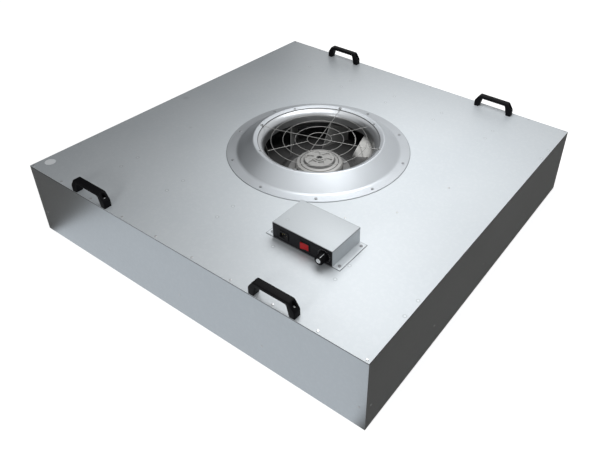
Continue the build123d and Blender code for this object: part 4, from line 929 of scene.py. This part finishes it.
def moulded_handle():
    grip = outline("grip", [(px, -HANDLE_DEPTH / 2, pz) for px, pz in HANDLE_SIDE])
    edit(grip)
    bpy.ops.mesh.extrude_region_move(TRANSFORM_OT_translate={"value": mm(0, HANDLE_DEPTH, 0)})
    done()
    edit(grip)
    bpy.ops.mesh.normals_make_consistent(inside=False)
    done()

    def ends(edge):
        return [grip.data.vertices[v].co for v in edge.vertices]

    def crosswise(edge):
        a, b = ends(edge)
        return abs(a.y - b.y) > mm(20) and a.z > mm(15)

    def lengthwise(edge):
        a, b = ends(edge)
        on_side = abs(a.y - b.y) < mm(0.01) and abs(abs(a.y) - mm(HANDLE_DEPTH / 2)) < mm(0.01)
        return on_side and max(a.z, b.z) > mm(0.5)

    edit(grip, "EDGE", crosswise)
    bpy.ops.mesh.bevel(offset=mm(3.4), segments=5)
    done()
    edit(grip, "EDGE", lengthwise)
    bpy.ops.mesh.bevel(offset=mm(2.6), segments=4)
    done()
    return grip


# %% Drill its pockets and set the four copies
def drill(grip, across, radius, foot):
    """Cuts a round hole from above, down to a foot's height."""
    select()
    bpy.ops.mesh.primitive_cylinder_add(
        vertices=32, radius=mm(radius), depth=mm(60), location=mm(across, 0, foot + 30))
    cutter = bpy.context.object
    bpy.ops.object.transform_apply(location=True)
    apply(grip, "BOOLEAN", operation="DIFFERENCE", object=cutter, solver="EXACT")
    bpy.data.objects.remove(cutter)


model = moulded_handle()
for side in (-1, 1):
    drill(model, side * GRIP_SCREW, 5.0, POCKET_FLOOR)
    drill(model, side * GRIP_SCREW, 2.7, -5.0)
tidy(model, 35)
for node, (hx, hy) in HANDLE_PLACES.items():
    twin = bpy.data.objects.new(node.replace("handle", "grip"), model.data.copy())
    bpy.context.collection.objects.link(twin)
    twin.data.transform(Matrix.Translation(mm(hx, hy, TOP)))
    wear(twin, handle_black, "casing", "black_plastic", node)
bpy.data.objects.remove(model)

# %% [markdown]
# ## Easing the edges of boxed parts
# Folded and moulded parts never have knife edges, and the thin highlight along an eased
# edge is what makes them read as real. The boxes could be drawn again, but the solids
# have the right places and holes already, so a copy of the solid's own mesh is merged,
# its flat faces are made whole, and a small bevel runs round the sharp edges.

# %% Ease a copy of a solid node
def eased(name, node, width, segments):
    """A copy of a solid's mesh with a small round along its sharp edges."""
    piece = bpy.data.objects.new(name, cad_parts[node].data.copy())
    bpy.context.collection.objects.link(piece)
    edit(piece)
    bpy.ops.mesh.remove_doubles(threshold=mm(0.005))
    bpy.ops.mesh.dissolve_limited(angle_limit=radians(1.0))
    done()
    apply(piece, "BEVEL", width=mm(width), segments=segments, limit_method="ANGLE",
          angle_limit=radians(28), use_clamp_overlap=True)
    return tidy(piece, 40)


# %% The control box and what is set in its panel
BOXED = [
    ("folded_cover", "box_cover", 0.5, 3, top_steel, "casing", "casing_steel"),
    ("front_plate", "control_panel", 0.2, 2, panel_black, "casing", "black_panel"),
    ("mains_socket", "power_inlet", 0.35, 2, gloss_black, "casing", "black_plastic"),
    ("switch_bezel", "rocker_frame", 0.35, 2, gloss_black, "casing", "black_plastic"),
    ("red_rocker", "rocker", 0.5, 3, switch_red, "power_rocker", "red_plastic"),
]
for name, node, width, segments, finish, body, slot in BOXED:
    wear(eased(name, node, width, segments), finish, body, slot, node)

# %% [markdown]
# ## The speed knob
# A collet knob: a skirt, a fluted grip and a silver cap let into its nose. It could be
# spun from a section, but then it would need cutting for its flutes. A disc that is
# extruded and narrowed ring by ring has side faces already, and every other one of them
# is inset and sunk to make a flute.

# %% Turn a part of the knob
KNOB_SIDES = 48


def knob_part(name, rings_mm, sides=KNOB_SIDES):
    """rings_mm: (distance in front of the panel, radius), from the back to the nose."""
    select()
    first, radius = rings_mm[0]
    bpy.ops.mesh.primitive_circle_add(
        vertices=sides, radius=mm(radius), fill_type="NGON",
        location=mm(KNOB[0], KNOB[1] - first, KNOB[2]), rotation=(pi / 2, 0, 0))
    piece = bpy.context.object
    piece.name = name
    bpy.ops.object.mode_set(mode="EDIT")
    bpy.ops.mesh.select_all(action="SELECT")
    centre = mm(*KNOB)
    for (d0, r0), (d1, r1) in zip(rings_mm, rings_mm[1:]):
        bpy.ops.mesh.extrude_region_move(TRANSFORM_OT_translate={"value": mm(0, d0 - d1, 0)})
        bpy.ops.transform.resize(value=(r1 / r0, 1, r1 / r0), center_override=centre)
    bpy.ops.object.mode_set(mode="OBJECT")
    bpy.ops.object.transform_apply(location=True, rotation=True, scale=True)
    return piece


# %% The fluted grip
knob = knob_part(
    "fluted_knob",
    [(0.8, 14.6), (1.2, 15.0), (3.9, 15.0), (4.3, 14.5), (4.4, 13.6), (5.6, 13.6),
     (20.4, 12.5), (21.6, 12.0), (22.3, 11.0), (22.3, 6.8), (21.4, 6.7)],
)


def flute(face):
    away = face.center - mm(*KNOB)
    turn = degrees(atan(away.x / away.z)) if abs(away.z) > 1e-9 else 90.0
    number = round((turn + 180) * KNOB_SIDES / 360 - 0.5)
    on_grip = mm(5.8) < -away.y < mm(20) and Vector((away.x, away.z)).length > mm(12)
    return on_grip and number % 2 == 0


edit(knob, "FACE", flute)
bpy.ops.mesh.inset(thickness=mm(0.25), depth=mm(-0.55), use_individual=True)
done()
tidy(knob, 30)
wear(knob, handle_black, "speed_dial", "black_plastic", "speed_knob")

# %% The silver cap
cap = knob_part(
    "silver_cap_disc", [(21.3, 6.6), (22.3, 6.6), (22.8, 6.2), (22.8, 4.4), (22.6, 4.1)], 64
)
tidy(cap, 40)
wear(cap, cap_silver, "speed_dial", "silver_cap", "knob_cap")

# %% The pointer, a thin white bar let into the tapered grip
POINTER_TURN = 20.0  # degrees clockwise from upright
POINTER_SIZE = (0.9, 17.5, 1.0)  # across, along the grip and out of it
GRIP_TAPER = 3.6  # degrees

turn = radians(POINTER_TURN)
outward = Vector((sin(turn), 0, cos(turn)))
select()
bpy.ops.mesh.primitive_cube_add(size=1, location=(0, 0, 0))
pointer = bpy.context.object
pointer.name = "pointer_line"
pointer.scale = mm(*POINTER_SIZE)
bpy.ops.object.transform_apply(scale=True)
edit(pointer)
bpy.ops.mesh.bevel(offset=mm(0.25), segments=2)
done()
pointer.data.transform(Matrix.Rotation(radians(GRIP_TAPER), 4, "X"))
middle = mm(*KNOB) + outward * mm(13.0) + mm(0, -13.2, 0)
pointer.data.transform(Matrix.Translation(middle) @ Matrix.Rotation(turn, 4, "Y"))
tidy(pointer, 40)
wear(pointer, sticker, "speed_dial", "black_plastic")

# %% [markdown]
# ## The sticker
# A round white sticker is stuck in one corner of the top. It could be a patch of colour on
# the sheet, but as a thin disc it keeps a clean edge and can be taken off.

# %% The round sticker in the corner
STICKER_X = -560.0
STICKER_Y = -542.0
STICKER_R = 15.0
STICKER_SHEET = 0.2

select()
bpy.ops.mesh.primitive_cylinder_add(
    vertices=64, radius=mm(STICKER_R), depth=mm(STICKER_SHEET),
    location=mm(STICKER_X, STICKER_Y, TOP + STICKER_SHEET / 2))
dot = bpy.context.object
dot.name = "corner_dot"
bpy.ops.object.transform_apply(location=True)
edit(dot, "FACE", facing_up)
bpy.ops.mesh.inset(thickness=mm(0.4), depth=0)
done()
tidy(dot, 40)
wear(dot, sticker, "casing", "sticker_paper", "round_sticker")

# %% [markdown]
# ## The floor
# The unit lies on a floor that looks white and still keeps the unit's shadow. More light
# would bleach the metal, so the floor glows a little by itself instead. Metal would
# mirror that glow evenly; like a sheet of paper on a dark bench, a white stretch with
# dark beyond it gives the walls their soft change from light to dark.

# %% A floor that shows each kind of ray what it needs
FLOOR_GLOW = 0.82
PAPER_EDGE = 566.0  # metal sees a white sheet this far either side, and dark floor beyond

select()
bpy.ops.mesh.primitive_plane_add(size=40, location=(0, 0, -0.0005))
floor = bpy.context.object
floor.name = "floor"
ground = Finish("pale_floor", (0.6, 0.6, 0.6), roughness=0.9, Specular_IOR_Level=0.0)
ground.surface.inputs["Emission Color"].default_value = (1, 1, 1, 1)
ground.surface.inputs["Emission Strength"].default_value = FLOOR_GLOW


def mix_shader(share, first, second):
    """The first floor shader where share is 0, the second where it is 1."""
    sockets = {0: share, 1: first.outputs[0], 2: second.outputs[0]}
    return ground.node("ShaderNodeMixShader", None, sockets)


white = ground.node("ShaderNodeEmission", None, {"Color": (0.92, 0.96, 1.0, 1)})
black = ground.node("ShaderNodeEmission", None, {"Color": (0.095, 0.088, 0.080, 1)})
sheet = ground.axes()[0].size().below(mm(PAPER_EDGE), mm(26))
for_metal = mix_shader(sheet, black, white)
for_light = ground.node("ShaderNodeBsdfDiffuse", None, {"Color": (0.22, 0.21, 0.19, 1)})
glossy = ground.node("ShaderNodeLightPath").outputs["Is Glossy Ray"]
unseen = mix_shader(glossy, for_light, for_metal)
whole = mix_shader(ground.is_seen("Is Transmission Ray"), unseen, ground.surface)
ground.feed(ground.tree.nodes["Material Output"].inputs["Surface"], whole.outputs[0])
floor.data.materials.append(ground.material)
print("floor:", len(ground.tree.nodes), "nodes")

# %% [markdown]
# ## The room's light
# The world is white to look at and a dim, even light to stand in. A Light Path node tells
# the two kinds of ray apart. The walls also need something dark to mirror, which a card
# gives that only polished metal can see.

# %% The world
AMBIENT = 0.29

world = bpy.data.worlds.new("studio")
bpy.context.scene.world = world
room = Nodes(world)
background = room.tree.nodes["Background"]
background.inputs["Color"].default_value = (1, 1, 1, 1)
seen = room.is_seen("Is Glossy Ray", "Is Transmission Ray")
strength = room.node(
    "ShaderNodeMapRange", None, {"Value": seen, "To Min": AMBIENT, "To Max": 1.0}
)
room.feed(background.inputs["Strength"], strength.outputs[0])
print("even light:", AMBIENT)

# %% A dark card that only polished metal can see
select()
bpy.ops.mesh.primitive_plane_add(size=1, location=(-1.1, 0.15, 0.6), rotation=(0, pi / 2, 0))
card = bpy.context.object
card.name = "dark_card"
card.scale = (1.2, 2.1, 1)
bpy.ops.object.transform_apply(location=True, rotation=True, scale=True)
card_black = Finish("card_black", (0.03, 0.03, 0.03), roughness=0.9)
card.data.materials.append(card_black.material)
card.visible_camera = False
card.visible_diffuse = False
card.visible_shadow = False
print("card:", [round(side, 2) for side in card.dimensions], "m")

# %% [markdown]
# ## Lamps
# A soft key lamp hangs over the unit and shines across its top, a small one lifts the
# front, and one low behind it draws the far edges. A narrow beam falls through the guard
# on one blade: a sun would do the same, but it would also light everything else.

# %% Hang the lamps
def lamp(name, kind, place, target, watts, **settings):
    """Hangs a lamp at a place and aims it at a target, both in metres."""
    data = bpy.data.lights.new(name, kind)
    data.energy = watts
    for key, value in settings.items():
        setattr(data, key, value)
    holder = bpy.data.objects.new(name, data)
    bpy.context.collection.objects.link(holder)
    holder.location = place
    holder.rotation_mode = "QUATERNION"
    holder.rotation_quaternion = (Vector(target) - Vector(place)).to_track_quat("-Z", "Y")
    holder.visible_camera = False
    return holder


def panel_lamp(name, place, target, size, watts):
    wide, tall = size
    return lamp(name, "AREA", place, target, watts, shape="RECTANGLE", size=wide, size_y=tall)


panel_lamp("key", (0.22, 0.08, 1.05), (0.78, 0.16, 0.2), (0.66, 0.8), 8.5)
panel_lamp("front", (0.3, -1.9, 0.8), (0.1, -0.5, 0.2), (0.4, 0.4), 5)
rear = panel_lamp("rear", (-1.6, 2.2, 0.35), (-0.3, 0.3, 0.12), (0.8, 0.4), 32)
rear.visible_glossy = False
lamp(
    "beam", "SPOT", (0.25, -0.35, 0.75), (0.055, 0.160, 0.165), 80,
    spot_size=radians(4.5), spot_blend=0.4, shadow_soft_size=0.01,
)
print("lamps:", len(bpy.data.lights))

# %% [markdown]
# ## The camera
# The camera looks down over the near corner. Shifting its lens moves the picture without
# turning the camera, so the upright edges keep their slant.

# %% Camera
camera = bpy.data.objects.new("camera", bpy.data.cameras.new("camera"))
bpy.context.collection.objects.link(camera)
camera.location = (1.01794, -1.30099, 1.27571)
camera.rotation_euler = Euler([radians(a) for a in (54.80596, -2.54831, 34.27063)], "XYZ")
camera.data.sensor_width = 36.0
camera.data.lens = 37.897
camera.data.shift_x = -0.1179
camera.data.shift_y = -0.0764
bpy.context.scene.camera = camera
bpy.context.scene.view_settings.view_transform = "Standard"
print("camera %.2f m up, with a lens of %.1f mm" % (camera.location.z, camera.data.lens))
